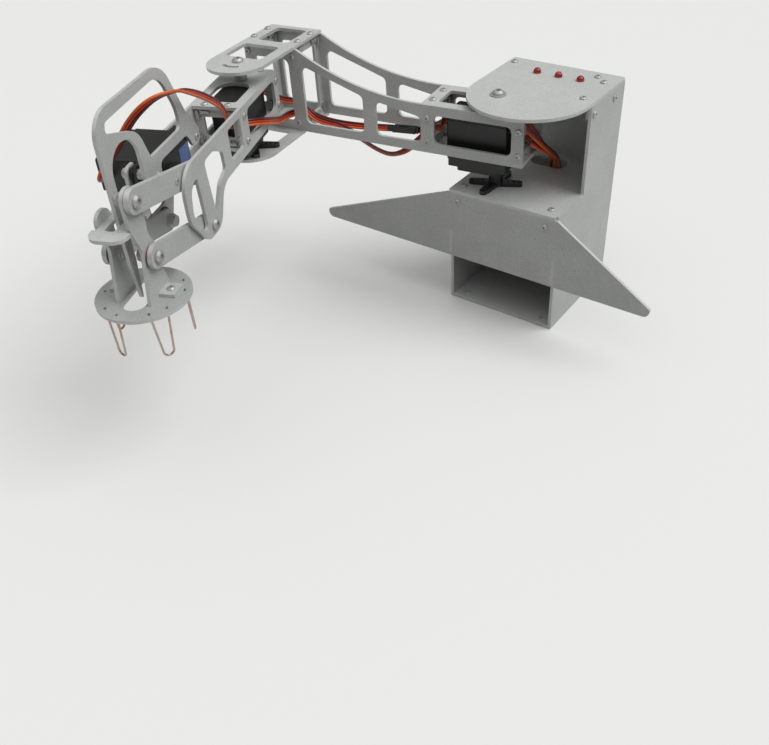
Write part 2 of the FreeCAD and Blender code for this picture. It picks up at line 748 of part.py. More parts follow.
gap = tongue_window_gap
sides = (elbow_rear + gap, elbow_end - gap)
rear_window = rectangle(sides[0], -tongue_rear_window, sides[1], tongue_rear_window, tongue_window_r)
front_window = rectangle(sides[0], tongue_front_window[0], elbow_end - tongue_front_gap, tongue_front_window[1],
                         tongue_window_r)
top_tongue = tongue([rear_window, front_window], [(elbow_s, elbow_off, pivot_r + hole_gap)])
bow = ring(slot_bow_r + slot_bow_w / 2, slot_bow_r - slot_bow_w / 2, sheet)
wedge_x = 2 * slot_bow_r * math.tan(math.radians(slot_bow_half))
wedge = flat([(0, 0), (wedge_x, 2 * slot_bow_r), (-wedge_x, 2 * slot_bow_r)])
bow = bow.common(wedge)
bow.translate(V(elbow_s, elbow_off, 0))
arm_parts["elbow_top_tongue"] = [drill(lifted(top_tongue.cut(bow), elbow_top), arm_pins)]
bottom_tongue = tongue([rear_window, front_window], [(elbow_s, elbow_off, screw_r)])
tongue_top = arm_bottom
arm_parts["elbow_bottom_tongue"] = [drill(lifted(bottom_tongue, tongue_top - sheet), arm_pins)]

elbow_point = V(elbow_s, elbow_off, 0)
elbow_face = fore_bottom - servo_face()
elbow_hub_h = elbow_face - run_gap - tongue_top
elbow_horn = horn(elbow_horn_angles, [elbow_horn_reach] * len(elbow_horn_angles), elbow_hub_h)
elbow_horn.translate(elbow_point + Z_AXIS * tongue_top)
elbow_shaft_h = elbow_hub_h + run_gap + shaft_sunk
elbow_shaft = Part.makeCylinder(shaft_r, elbow_shaft_h, elbow_point + Z_AXIS * tongue_top)
arm_parts["elbow_horn"] = [elbow_horn, elbow_shaft]
tongue_face = elbow_top + sheet
pin_length = tongue_face - (fore_top - sheet)
elbow_pin = pan_screw(pin_length, pivot_r, pivot_head_r, pivot_head_h)
elbow_pin = aimed(elbow_pin, elbow_point + Z_AXIS * tongue_face, Z_AXIS)
spacer_h = elbow_top - fore_top - run_gap
elbow_spacer = ring(spacer_r, pivot_r + hole_gap, spacer_h)
elbow_spacer.translate(elbow_point + Z_AXIS * (elbow_top - spacer_h))
arm_parts["elbow_pivot"] = [elbow_pin, elbow_spacer]

# Forearm


def boot(corner_r, windows):
    # The side plate of the forearm: a box at the elbow and a rounded boot that carries the lower links
    corners = [(fore_rear, fore_bottom, small_window_r), (boot_knee[0], boot_knee[1], boot_knee_r),
               (boot_heel, boot_foot, boot_foot_r), (boot_toe, boot_foot, boot_foot_r),
               (boot_front, boot_nose_z, boot_corner_r), (boot_front, fore_top, corner_r),
               (fore_rear, fore_top, small_window_r)]
    return flat(corners, windows=windows)


box_window = rectangle(fore_window_ends[0], fore_window[0], fore_window_ends[1], fore_window[1], window_r)
middle_window = rectangle(post_front, fore_window[0], middle_window_end, fore_window[1], small_window_r)
servo_z0 = shaft_point[1] - servo_width / 2
servo_notch = [(lift_start - run_gap, servo_z0 - run_gap), (lift_end + run_gap, servo_z0 - run_gap),
               (lift_end + run_gap, fore_top + sheet), (lift_start - run_gap, fore_top + sheet)]

fore_pins = []
fore_nuts = []
fore_parts = {}
fore_span = (fore_bottom + sheet, fore_top - sheet)
fore_room_half = fore_inner - bulkhead_rim
fore_room = opening(fore_room_half, fore_span)
fore_rows = (("rear_bulkhead", fore_bulkheads[0], 0), ("front_bulkhead", fore_bulkheads[1], fore_bolts_b))
for name, a, foot_bolts in fore_rows:
    bulkhead = Bulkhead(a, fore_inner, fore_span, fore_room, fore_bolts_z, fore_bolts_b, foot_bolts)
    fore_parts[name] = [bulkhead.plate]
    fore_pins += bulkhead.pins
    fore_nuts += bulkhead.nuts

# The lower pivots, the lift servo's ear screws and the ejector plate's standoffs
low_pins = []
for side in (-1, 1):
    out = Y_AXIS * side
    low_pins.append((V(lower_point[0], side * fore_half, lower_point[1]), out,
                     fore_half - lower_link_b + slide_gap + lock_nut_h, pivot_r))
ear_rows = []
for x, y in servo_holes():
    ear_rows.append((shaft_point[0] - x, shaft_point[1] + y))
ejector_face_b = sheet / 2
ear_top_b = lift_seat_b + servo_ear_t
long_pins = []
short_pins = []
far_nut_b = -fore_half
ear_bolt_end = fore_half + ear_nut_h + 2 * screw_end
for a, z in ear_rows:
    if z > shaft_point[1]:
        long_pins.append((V(a, ejector_face_b, z), Y_AXIS, ejector_face_b + ear_bolt_end, screw_r))
    else:
        short_pins.append((V(a, ear_top_b, z), Y_AXIS, ear_top_b + ear_bolt_end, screw_r))
ear_bolts = long_pins + short_pins

near_plate = upright(boot(boot_corner_r, [box_window, middle_window, rear_slot, front_slot]), fore_half)
fore_parts["near_fore_plate"] = [drill(near_plate, fore_pins + low_pins)]
far_plate = upright(boot(far_boot_corner_r, [box_window, middle_window, rectangle(*far_low_window)]),
                    -fore_inner)
notch = upright(flat(servo_notch), -fore_inner)
fore_parts["far_fore_plate"] = [drill(far_plate.cut(notch), fore_pins + low_pins + ear_bolts)]

lid_half = fore_inner - lid_rim
lid_front = fore_bulkheads[1] - shoulder_post / 2
lid_window = [(lid_window_start, lid_half, lid_window_r), (lid_window_start, -lid_half, lid_window_r),
              (lid_front, -lid_half, small_window_r), (lid_front, lid_half, small_window_r)]
lid = flat(rectangle(fore_rear, -fore_inner, fore_front, fore_inner), windows=[lid_window],
           holes=[(0, 0, pivot_r + fit_gap)])
fore_parts["fore_top_plate"] = [drill(lifted(lid, fore_top - sheet), fore_pins)]
tray = flat(rectangle(fore_rear, -fore_inner, fore_front, fore_inner), windows=[servo_cut], holes=ear_holes)
fore_parts["fore_servo_plate"] = [drill(lifted(tray, fore_bottom), fore_pins)]
fore_parts["elbow_servo"] = down_servo(fore_bottom)

# Lift servo: output to the near side, long side of the case back towards the elbow
lift_seat = V(shaft_point[0], lift_seat_b, shaft_point[1])
lift_solids = [oriented(solid, lift_seat, -X_AXIS, Y_AXIS) for solid in servo_case()]
fore_parts["lift_servo"] = lift_solids
grommets = []
for a, z in ear_rows:
    grommet = ring(grommet_r, screw_r + hole_gap, grommet_t)
    grommets.append(aimed(grommet, V(a, -fore_inner, z), Y_AXIS))
fore_parts["rubber_grommets"] = grommets

standoffs = []
for point, direction, length, radius in long_pins:
    standoff = ring(standoff_r, screw_r + hole_gap, -ejector_face_b - ear_top_b)
    standoffs.append(aimed(standoff, V(point.x, ear_top_b, point.z), Y_AXIS))
fore_parts["ejector_standoffs"] = standoffs
ear_nuts = []
for point, direction, length, radius in ear_bolts:
    ear_nut = ring(ear_nut_r, screw_r + hole_gap, ear_nut_h)
    ear_nuts.append(aimed(ear_nut, V(point.x, far_nut_b, point.z), -Y_AXIS))
elbow_ear_pins = ear_screws(fore_bottom)
fore_parts["forearm_screws"] = screws_for(fore_pins + elbow_ear_pins + ear_bolts) + fore_nuts + ear_nuts

# The ejector plate: a tall loop whose straight leg pushes the load out of the fingers
rear_ear = max(ear_rows, key=lambda row: (row[1], -row[0]))
front_ear = max(ear_rows, key=lambda row: (row[1], row[0]))
leg_back = ejector_front - ejector_leg
tip_back = leg_back + (ejector_leg - ejector_tip_w) / 2
pad_z = rear_ear[1] - ear_pad


def loop_z(share):
    return loop_sill + share * (ejector_top - loop_sill)


rear = rear_ear[0]
front = front_ear[0]
arch_z = loop_z(arch_heights[2])
tip_r = ejector_tip_w / 2
taper_z = ejector_tip + ejector_taper
loop_corners = [(rear - ear_pad, pad_z, ear_pad_r), (rear + ear_pad, pad_z, ear_pad_r),
                (rear + ear_pad + strut_h, strut_foot, strut_r),
                (front - ear_pad - strut_gap, strut_foot, ear_pad_r),
                (front - ear_pad, pad_z, ear_pad_r), (front + ear_pad, pad_z, ear_pad_r),
                (front + arch_foot[0], strut_foot - sheet, strut_r),
                (front + arch_foot[1], loop_z(arch_heights[0]), arch_r), (leg_back, arch_z, arch_r),
                (leg_back, taper_z), (tip_back, ejector_tip, tip_r),
                (tip_back + ejector_tip_w, ejector_tip, tip_r),
                (ejector_front, taper_z), (ejector_front, ejector_top, crown_r),
                (rear + loop_rear[1], ejector_top, rear_bow_r),
                (rear + loop_rear[0], loop_z(loop_heights[0]), rear_bow_r),
                (rear - ear_pad, rear_ear[1] + ear_pad - strut_gap, strut_r)]
loop_window = [(rear + loop_inner[0], loop_sill, ear_pad_r), (front + arch_inner[0], loop_sill, eye_r),
               (front + arch_inner[1], loop_z(arch_heights[1]), eye_bow_r[0]),
               (leg_back - eye_gaps[0], loop_z(eye_heights[0]), eye_r),
               (leg_back - eye_gaps[1], loop_z(eye_heights[1]), eye_r),
               (rear + loop_inner[1], loop_z(eye_heights[2]), eye_bow_r[0]),
               (rear + loop_inner[0], loop_z(loop_heights[1]), eye_bow_r[1])]
ejector = upright(flat(loop_corners, windows=[loop_window]), ejector_face_b)
fore_parts["ejector_plate"] = [drill(ejector, long_pins)]
low_nuts = []
for point, direction, length, radius in low_pins:
    low_nuts.append(aimed(lock_nut(), point - direction * (length - lock_nut_h), -direction))
pivot_heads = [aimed(pan_screw(length, radius, pivot_head_r, pivot_head_h), point, direction)
               for point, direction, length, radius in low_pins]
fore_parts["lower_pivot_screws"] = pivot_heads + low_nuts

# Lift linkage: an upper link on the lift horn and two lower links


def link(start, b0, thickness, bores):
    edge = rectangle(-link_half, -link_half, link_length + link_half, link_half, link_half * full_round)
    body = flat(edge, thickness, holes=bores)
    body.rotate(V(), Z_AXIS, link_angle)
    body.translate(V(start[0], start[1], 0))
    return upright(body, b0 + thickness)


def along_link(start, distance):
    turn = math.radians(link_angle)
    return (start[0] + distance * math.cos(turn), start[1] + distance * math.sin(turn))


link_parts = {}
upper_bores = [(step, 0, lift_screw_r + hole_gap) for step in lift_screw_steps]
upper_bores += [(0, 0, pivot_r), (link_length, 0, pivot_r + fit_gap)]
link_parts["upper_link"] = [link(shaft_point, upper_link_b, upper_link_t, upper_bores)]
lift_face_b = lift_seat_b + servo_face()
lift_arm_face = lift_horn_arm_b + horn_arm_t
lift_hub_h = lift_arm_face - lift_face_b - run_gap
lift_horn = horn((0, 180), (lift_horn_reach, lift_horn_reach * lift_horn_back), lift_hub_h)
for step in lift_screw_steps:
    lift_horn = lift_horn.cut(Part.makeCylinder(lift_screw_r + hole_gap, horn_arm_t, V(step, 0, 0)))
link_way = V(link_reach[0], 0, link_reach[1]).normalize()
lift_horn = oriented(lift_horn, V(shaft_point[0], lift_arm_face, shaft_point[1]), link_way, -Y_AXIS)
lift_shaft = Part.makeCylinder(shaft_r, lift_hub_h + run_gap + shaft_sunk)
lift_shaft = aimed(lift_shaft, V(shaft_point[0], lift_face_b - shaft_sunk, shaft_point[1]), Y_AXIS)
link_parts["lift_horn"] = [lift_horn, lift_shaft]
spacers = []
lift_screws = []
for step in lift_screw_steps:
    a, z = along_link(shaft_point, step)
    spacer = ring(lift_spacer_r, lift_screw_r + hole_gap, upper_link_b - lift_arm_face)
    spacers.append(aimed(spacer, V(a, lift_arm_face, z), Y_AXIS))
    grip = upper_link_face - lift_horn_arm_b
    screw = pan_screw(grip, lift_screw_r, lift_screw_head_r, lift_screw_head_h)
    lift_screws.append(aimed(screw, V(a, upper_link_face, z), Y_AXIS))
link_parts["horn_spacers"] = spacers
link_parts["horn_screws"] = lift_screws

lower_parts = {}
lower_bores = [(0, 0, pivot_r + fit_gap), (link_length, 0, pivot_r + fit_gap)]
lower_parts["near_lower_link"] = [link(lower_point, lower_link_b, lower_link_t, lower_bores)]
lower_parts["far_lower_link"] = [link(lower_point, -lower_link_face, lower_link_t, lower_bores)]
washers = []
for side in (-1, 1):
    wrist_seat = V(wrist_point[0], side * lower_link_b, wrist_point[1])
    washers.append(aimed(ring(washer_r, pivot_r + fit_gap, washer_t), wrist_seat, Y_AXIS * -side))
    boot_seat = V(lower_point[0], side * lower_link_face, lower_point[1])
    washers.append(aimed(ring(boot_washer_r, pivot_r + fit_gap, boot_washer_t), boot_seat, Y_AXIS * side))
lower_parts["fibre_washers"] = washers

# Gripper: two carriers on a slotted disc with wire fingers


def carrier(head):
    # A waisted side plate; head lists the corners of its upper end from front to rear
    low_front = [(disc_a - carrier_foot[0], disc_top, 0), (disc_a + carrier_foot[1], disc_top, 0),
                 (disc_a + carrier_waist[1], carrier_waist_z[1], carrier_r)]
    heel = wrist_point[0] - carrier_lobe
    low_rear = [(disc_a - carrier_waist[0], carrier_waist_z[0], carrier_r),
                (heel, wrist_point[1] + carrier_shin[0], carrier_r),
                (heel, wrist_point[1] - carrier_shin[1], carrier_r)]
    return flat(low_front + head + low_rear, holes=[(wrist_point[0], wrist_point[1], pivot_r + hole_gap)])


lobe = carrier_lobe
near_head = [(disc_a + carrier_neck[1], carrier_neck_z[1], carrier_r),
             (upper_point[0] + lobe, upper_point[1] + lobe, lobe * full_round),
             (upper_point[0] - lobe, upper_point[1] + lobe, lobe * full_round),
             (disc_a - carrier_neck[0], carrier_neck_z[0], carrier_r)]
far_head = [(disc_a + far_carrier_front, far_carrier_top, far_carrier_r),
            (disc_a - carrier_neck[0], far_carrier_top, far_carrier_r)]
near_carrier = upright(carrier(near_head), carrier_outer)
upper_pin = (V(upper_point[0], upper_link_face, upper_point[1]), Y_AXIS,
             upper_link_face - carrier_b + lock_nut_h, pivot_r)
near_carrier = drill(near_carrier, [upper_pin])
far_carrier = upright(carrier(far_head), -carrier_b)
foot_a = disc_a - foot_back
foot_screw = (disc_a - foot_screw_back, carrier_outer + foot_reach / 2)
foot_pins = []
carriers = []
for side, plate in ((1, near_carrier), (-1, far_carrier)):
    reach = sorted((side * carrier_b, side * (carrier_outer + foot_reach)))
    foot = block(foot_a, foot_a + foot_length, reach[0], reach[1], disc_top, disc_top + sheet)
    pin = (V(foot_screw[0], side * foot_screw[1], disc_top + sheet), Z_AXIS, 2 * sheet + screw_end, screw_r)
    foot_pins.append(pin)
    carriers.append(drill(plate.fuse(foot).removeSplitter(), [pin]))
grip_parts = {"near_carrier": [carriers[0]], "far_carrier": [carriers[1]]}

guide_mid = disc_a + guide_ahead
guide_hole = rectangle(guide_slot[0], guide_slot_b[0], guide_slot[1], guide_slot_b[1], guide_slot_r)
guide_edge = rectangle(guide_mid - guide_length / 2, -guide_half, guide_mid + guide_length / 2, guide_half,
                       guide_corner_r)
guide = lifted(flat(guide_edge, windows=[guide_hole]), guide_top - sheet)
notch_start = disc_a - carrier_neck[0] - window_gap
notch_end = disc_a + far_carrier_front
for b0, b1 in ((carrier_b, guide_half), (-guide_half, -carrier_b)):
    guide = guide.cut(block(notch_start, notch_end, b0, b1, guide_top - sheet, guide_top))
grip_parts["guide_plate"] = [guide]


def on_ring(degrees, z):
    angle = math.radians(degrees)
    return V(disc_a + finger_ring * math.cos(angle), finger_ring * math.sin(angle), z)


finger_holes = []
fingers = []
for i in range(finger_count):
    middle = finger_first + 360.0 * i / finger_count
    top_z = disc_top + finger_stub
    foot_z = disc_top - sheet - finger_drop
    tops = [on_ring(middle + side * finger_spread, top_z) for side in (-1, 1)]
    lows = [on_ring(middle + side * finger_foot_spread, foot_z) for side in (-1, 1)]
    for start, low in zip(tops, lows):
        finger_holes.append((start, (low - start).normalize()))
    fingers.append([tops[0], lows[0], lows[1], tops[1]])


def tube(path, radius, bends, report=None):
    # A round rod along straight runs joined by tangent arcs; bends gives the radius at each inner point
    edges = []
    last = path[0]
    for i in range(1, len(path) - 1):
        back = path[i - 1] - path[i]
        ahead = path[i + 1] - path[i]
        back.normalize()
        ahead.normalize()
        half = back.getAngle(ahead) / 2
        reach = bends[i - 1] / math.tan(half)
        middle = back + ahead
        middle.normalize()
        enter = path[i] + back * reach
        leave = path[i] + ahead * reach
        bow = path[i] + middle * (bends[i - 1] / math.sin(half) - bends[i - 1])
        if last.distanceToPoint(enter) > 1e-6:
            edges.append(Part.makeLine(last, enter))
        edges.append(Part.Arc(enter, bow, leave).toShape())
        last = leave
    edges.append(Part.makeLine(last, path[-1]))
    spine = Part.Wire(edges)
    start = path[1] - path[0]
    section = Part.Wire(Part.makeCircle(radius, path[0], start))
    rod = spine.makePipeShell([section], True, False)
    if report:
        expected = math.pi * radius * radius * spine.Length
        print(report, "length", round(spine.Length, 1), "volume ratio", round(rod.Volume / expected, 4),
              "radii", [round(bend, 1) for bend in bends])
    return rod


grip_parts["wire_fingers"] = [tube(path, finger_r, [finger_bend_r * full_round] * 2) for path in fingers]
disc_slot = rectangle(disc_a - disc_slot_half, -disc_slot_r, disc_a + disc_slot_half, disc_slot_r,
                      disc_slot_r * full_round)
disc = Part.makeCylinder(disc_r, sheet, V(disc_a, 0, 0))
disc = lifted(disc.cut(Part.Face(outline(disc_slot)).extrude(Z_AXIS * sheet)), disc_top - sheet)
wire_cuts = [Part.makeCylinder(finger_r + hole_gap, 2 * sheet, start, tilt) for start, tilt in finger_holes]
grip_parts["base_disc"] = [drill(disc.cut(wire_cuts), foot_pins)]

wrist_pins = []
for side in (-1, 1):
    wrist_pins.append((V(wrist_point[0], side * (lower_link_face + run_gap), wrist_point[1]), Y_AXIS * side,
                       lower_link_face + run_gap - carrier_b + lock_nut_h, pivot_r))
grip_pins = wrist_pins + [upper_pin]
grip_screws = []
for point, direction, length, radius in grip_pins:
    grip_screws.append(aimed(pan_screw(length, radius, pivot_head_r, pivot_head_h), point, direction))
    seat = point - direction * (length - lock_nut_h)
    grip_screws.append(aimed(lock_nut(), seat, -direction))
grip_parts["gripper_screws"] = grip_screws + screws_for(foot_pins)

# Leads, as routes at rest: straight runs joined by the largest arcs that fit
arm_turn = math.radians(arm_angle)
fore_turn = math.radians(fore_angle)
elbow_x = elbow_s * math.cos(arm_turn) - elbow_off * math.sin(arm_turn)
elbow_y = elbow_s * math.sin(arm_turn) + elbow_off * math.cos(arm_turn)


def on_arm(s, off, z):
    return V(s * math.cos(arm_turn) - off * math.sin(arm_turn),
             s * math.sin(arm_turn) + off * math.cos(arm_turn), z)


def on_fore(a, b, z):
    return V(elbow_x + a * math.cos(fore_turn) - b * math.sin(fore_turn),
             elbow_y + a * math.sin(fore_turn) + b * math.cos(fore_turn), z)


def lead(name, path):
    bends = []
    for i in range(1, len(path) - 1):
        back = path[i - 1] - path[i]
        ahead = path[i + 1] - path[i]
        half_turn = (math.pi - back.getAngle(ahead)) / 2
        bends.append(lead_bend * min(back.Length, ahead.Length) / math.tan(half_turn))
    add(name, tube(path, lead_r, bends, name))


lift_route = [on_fore(*p) for p in (
    (lift_end, -32.0, 144.0), (126.5, -32.0, 144.0), (132.0, -30.5, 150.4), (128.0, -27.0, 159.0),
    (121.8, -20.5, 166.5), (119.4, -13.0, 174.2), (119.6, -4.8, 182.4), (115.6, 3.6, 187.6),
    (106.4, 7.6, 189.0), (94.2, 9.5, 185.2), (80.0, 10.0, 176.8), (66.6, 9.4, 168.0), (55.2, 7.6, 159.2),
    (47.4, 4.8, 151.0), (41.2, 3.2, 143.8), (36.0, 5.6, 140.0), (31.6, 11.4, 138.6), (24.4, 17.4, 136.6),
    (12.0, 20.8, 131.6), (-9.9, 17.7, 121.4))]
lift_route += [on_arm(*p) for p in (
    (144.6, 20.4, 118.0), (141.4, 9.8, 117.2), (134.0, 4.4, 115.8), (123.4, 0.6, 113.4), (112.4, -2.0, 111.6),
    (101.0, -4.0, 111.0), (90.0, plug_off, plug_z), (plug_start, plug_off, plug_z))]
elbow_route = [on_fore(*p) for p in ((-servo_inset, 2.0, 141.0), (-17.0, 2.0, 141.0))]
elbow_route += [on_arm(*p) for p in (
    (156.9, 26.6, 137.4), (157.2, 18.2, 130.6), (153.6, 11.0, 122.6), (145.8, 6.4, 119.0),
    (136.0, 1.6, 118.6), (125.4, 0.6, 117.2), (114.6, 3.8, 113.2), (104.6, 6.2, 106.6), (95.0, 5.8, 100.4),
    (85.2, 5.2, 96.8), (74.6, 5.0, 96.2), (65.0, 4.8, 99.0), (57.2, 4.4, 105.2), (50.6, 3.6, 112.0),
    (44.4, 2.6, 118.8), (39.2, 2.2, 125.8), (35.8, 2.0, 132.8), (30.8, 2.0, 137.2), (23.4, 2.0, lead_over_z),
    (tail_start, 2.0, lead_over_z))]
tail_route = [on_arm(*p) for p in (
    (tail_start, 2.0, lead_over_z), (9.4, 2.0, lead_over_z), (-1.0, 2.3, 135.4), (-11.4, 2.2, 134.8),
    (-20.6, 1.6, 130.6))]
tail_route += [V(26.0, 6.2, 125.6), V(28.2, 13.8, 118.8), V(27.4, 22.0, 111.4), V(25.2, 29.8, 103.2),
               V(22.6, 37.0, 94.0), V(20.8, 42.8, 83.8), V(20.0, 46.4, 73.0)]
tower_route = [on_arm(*p) for p in (
    (plug_start - plug_length, plug_off, plug_z), (51.0, plug_off, plug_z), (45.0, -5.2, 116.0),
    (39.6, -5.2, 124.2), (35.8, -5.2, 132.6), (30.8, -5.2, 137.2), (23.6, -5.2, 137.4), (15.6, -5.0, 135.8),
    (6.6, -5.1, 135.5), (-2.6, -5.2, 135.7), (-12.0, -4.4, 134.6), (-21.0, -3.4, 130.4))]
tower_route += [V(24.2, 11.6, 126.4), V(24.2, 19.0, 120.0), V(22.8, 26.6, 112.6), V(20.6, 33.8, 104.0),
                V(18.4, 39.8, 94.2), V(17.0, 44.0, 83.6), V(16.4, 45.8, 72.6)]
shoulder_route = [on_arm(*p) for p in ((-servo_inset, 6.4, 126.0), (-16.0, 6.4, 126.0), (-22.4, 5.6, 124.2))]
shoulder_route += [V(28.4, 2.2, 119.4), V(31.2, 10.0, 112.8), V(31.0, 18.8, 105.6), V(29.4, 27.2, 99.4),
                   V(27.6, 35.0, 95.0), V(25.4, 41.4, 90.0), V(23.6, 45.0, 81.4), V(23.2, 46.0, 72.0)]
lead("lift_lead", lift_route)
lead("elbow_lead", elbow_route)
lead("elbow_lead_tail", tail_route)
lead("tower_lead", tower_route)
lead("shoulder_lead", shoulder_route)
plug_body = block(plug_start - plug_length, plug_start, plug_off - plug_width / 2, plug_off + plug_width / 2,
                  plug_z - plug_height / 2, plug_z + plug_height / 2)
plug_body = plug_body.makeFillet(plug_edge_r, plug_body.Edges)
arm_parts["lead_connector"] = [plug_body]

# Everything is placed at rest and written out


def placed(shape, angle, point):
    shape.rotate(V(), Z_AXIS, angle)
    shape.translate(point)
    return shape


for name, shapes in arm_parts.items():
    add(name, *[placed(shape, arm_angle, V()) for shape in shapes])
for group in (fore_parts, link_parts, lower_parts, grip_parts):
    for name, shapes in group.items():
        add(name, *[placed(shape, fore_angle, V(elbow_x, elbow_y, 0)) for shape in shapes])

os.makedirs("parts", exist_ok=True)
for name, solids in nodes.items():
    shape = solids[0] if len(solids) == 1 else Part.makeCompound(solids)
    for solid in solids:
        if not solid.isValid():
            print("not valid:", name)
    shape.exportStep("parts/" + name + ".step")
print(len(nodes), "nodes")
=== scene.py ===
import json
import math

import bmesh
import bpy
from mathutils import Matrix, Vector


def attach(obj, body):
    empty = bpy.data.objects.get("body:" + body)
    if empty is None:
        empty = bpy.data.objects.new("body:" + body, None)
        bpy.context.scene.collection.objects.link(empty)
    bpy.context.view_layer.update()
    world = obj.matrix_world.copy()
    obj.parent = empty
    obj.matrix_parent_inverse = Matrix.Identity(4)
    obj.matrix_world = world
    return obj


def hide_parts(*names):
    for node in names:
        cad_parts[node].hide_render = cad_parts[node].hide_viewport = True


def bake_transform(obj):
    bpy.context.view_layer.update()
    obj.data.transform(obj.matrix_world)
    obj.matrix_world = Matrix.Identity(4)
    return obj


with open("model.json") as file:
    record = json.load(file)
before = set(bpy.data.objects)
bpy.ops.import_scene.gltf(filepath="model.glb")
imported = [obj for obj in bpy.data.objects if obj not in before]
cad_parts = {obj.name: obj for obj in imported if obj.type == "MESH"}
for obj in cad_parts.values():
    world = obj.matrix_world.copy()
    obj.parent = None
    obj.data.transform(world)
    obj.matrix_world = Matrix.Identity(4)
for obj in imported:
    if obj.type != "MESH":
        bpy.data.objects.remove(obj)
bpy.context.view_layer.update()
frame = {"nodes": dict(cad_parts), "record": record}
nodes = frame["nodes"]

mm = 0.001
zUp = Vector((0, 0, 1))


# the two arm halves have their own along, across and up, in millimetres
armSet = {"shoulderAt": (0, 0), "angle": -171.5}
foreSet = {"elbowAt": (-144.741, -73.400), "angle": -68.0}


def localPoint(origin, angle, along, across, z):
    turn = math.radians(angle)
    ahead = Vector((math.cos(turn), math.sin(turn)))
    sideways = Vector((-ahead.y, ahead.x))
    place = Vector(origin) + ahead * along + sideways * across
    return Vector((place.x, place.y, z)) * mm


def onArm(along, across, z):
    return localPoint(armSet["shoulderAt"], armSet["angle"], along, across, z)


def onFore(along, across, z):
    return localPoint(foreSet["elbowAt"], foreSet["angle"], along, across, z)


def onTower(x, y, z):
    return Vector((x, y, z)) * mm


def route(*stretches):
    return [place(*point) for place, points in stretches for point in points]


# camera at the photograph's place: 769 x 745, wide side across the sensor
cameraSet = {
    "place": (0.254639, -0.448338, 0.351546),
    "azimuth": 38.670238,
    "elevation": 39.462845,
    "roll": -4.095888,
    "lens": 40.216,
    "sensor": 36.0,
    "nearest": 0.01,
}


def makeCamera(s):
    turn = math.radians(s["azimuth"])
    lift = math.radians(s["elevation"])
    lean = math.radians(s["roll"])
    back = Vector((math.sin(turn) * math.cos(lift), -math.cos(turn) * math.cos(lift), math.sin(lift)))
    right = zUp.cross(back).normalized()
    up = back.cross(right)
    across = right * math.cos(lean) + up * math.sin(lean)
    tall = up * math.cos(lean) - right * math.sin(lean)
    data = bpy.data.cameras.new("camera")
    data.lens = s["lens"]
    data.sensor_width = s["sensor"]
    data.sensor_fit = "HORIZONTAL"
    data.clip_start = s["nearest"]
    camera = bpy.data.objects.new("camera", data)
    camera.matrix_world = Matrix.Translation(s["place"]) @ Matrix((across, tall, back)).transposed().to_4x4()
    bpy.context.scene.collection.objects.link(camera)
    bpy.context.scene.camera = camera


makeCamera(cameraSet)
print("camera set")


# a socket that does sums: an expression on it adds Math nodes
class Wire:
    def __init__(self, tree, socket):
        self.tree = tree
        self.socket = socket

    def sums(self, operation, first, second, clamp=False):
        node = self.tree.nodes.new("ShaderNodeMath")
        node.operation = operation
        node.use_clamp = clamp
        plug(self.tree, node.inputs[0], first)
        plug(self.tree, node.inputs[1], second)
        return Wire(self.tree, node.outputs[0])

    def __add__(self, other):
        return self.sums("ADD", self, other)

    def __radd__(self, other):
        return self.sums("ADD", other, self)

    def __sub__(self, other):
        return self.sums("SUBTRACT", self, other)

    def __rsub__(self, other):
        return self.sums("SUBTRACT", other, self)

    def __mul__(self, other):
        return self.sums("MULTIPLY", self, other)

    def __rmul__(self, other):
        return self.sums("MULTIPLY", other, self)

    def held(self):  # kept between 0 and 1
        return self.sums("ADD", self, 0.0, clamp=True)

    def swing(self):  # a noise, as its swing about the middle
        return self - 0.5


def plug(tree, socket, value):
    if isinstance(value, Wire):
        tree.links.new(value.socket, socket)
    else:
        socket.default_value = value


# a node tree: a node has its type, then its settings, then its socket values and links
class Graph:
    def __init__(self, tree):
        self.tree = tree

    def make(self, kind, settings=None, sockets=None):
        made = self.tree.nodes.new(kind)
        for name, value in (settings or {}).items():
            setattr(made, name, value)
        for name, value in (sockets or {}).items():
            plug(self.tree, made.inputs[name], value)
        return made

    def node(self, kind, settings=None, sockets=None, out=0):  # the same, as one of its outputs
        return Wire(self.tree, self.make(kind, settings, sockets).outputs[out])


# an edge is near where a rounded normal leaves the face's own
edgeSet = {"samples": 4, "band": (0.01, 0.25)}


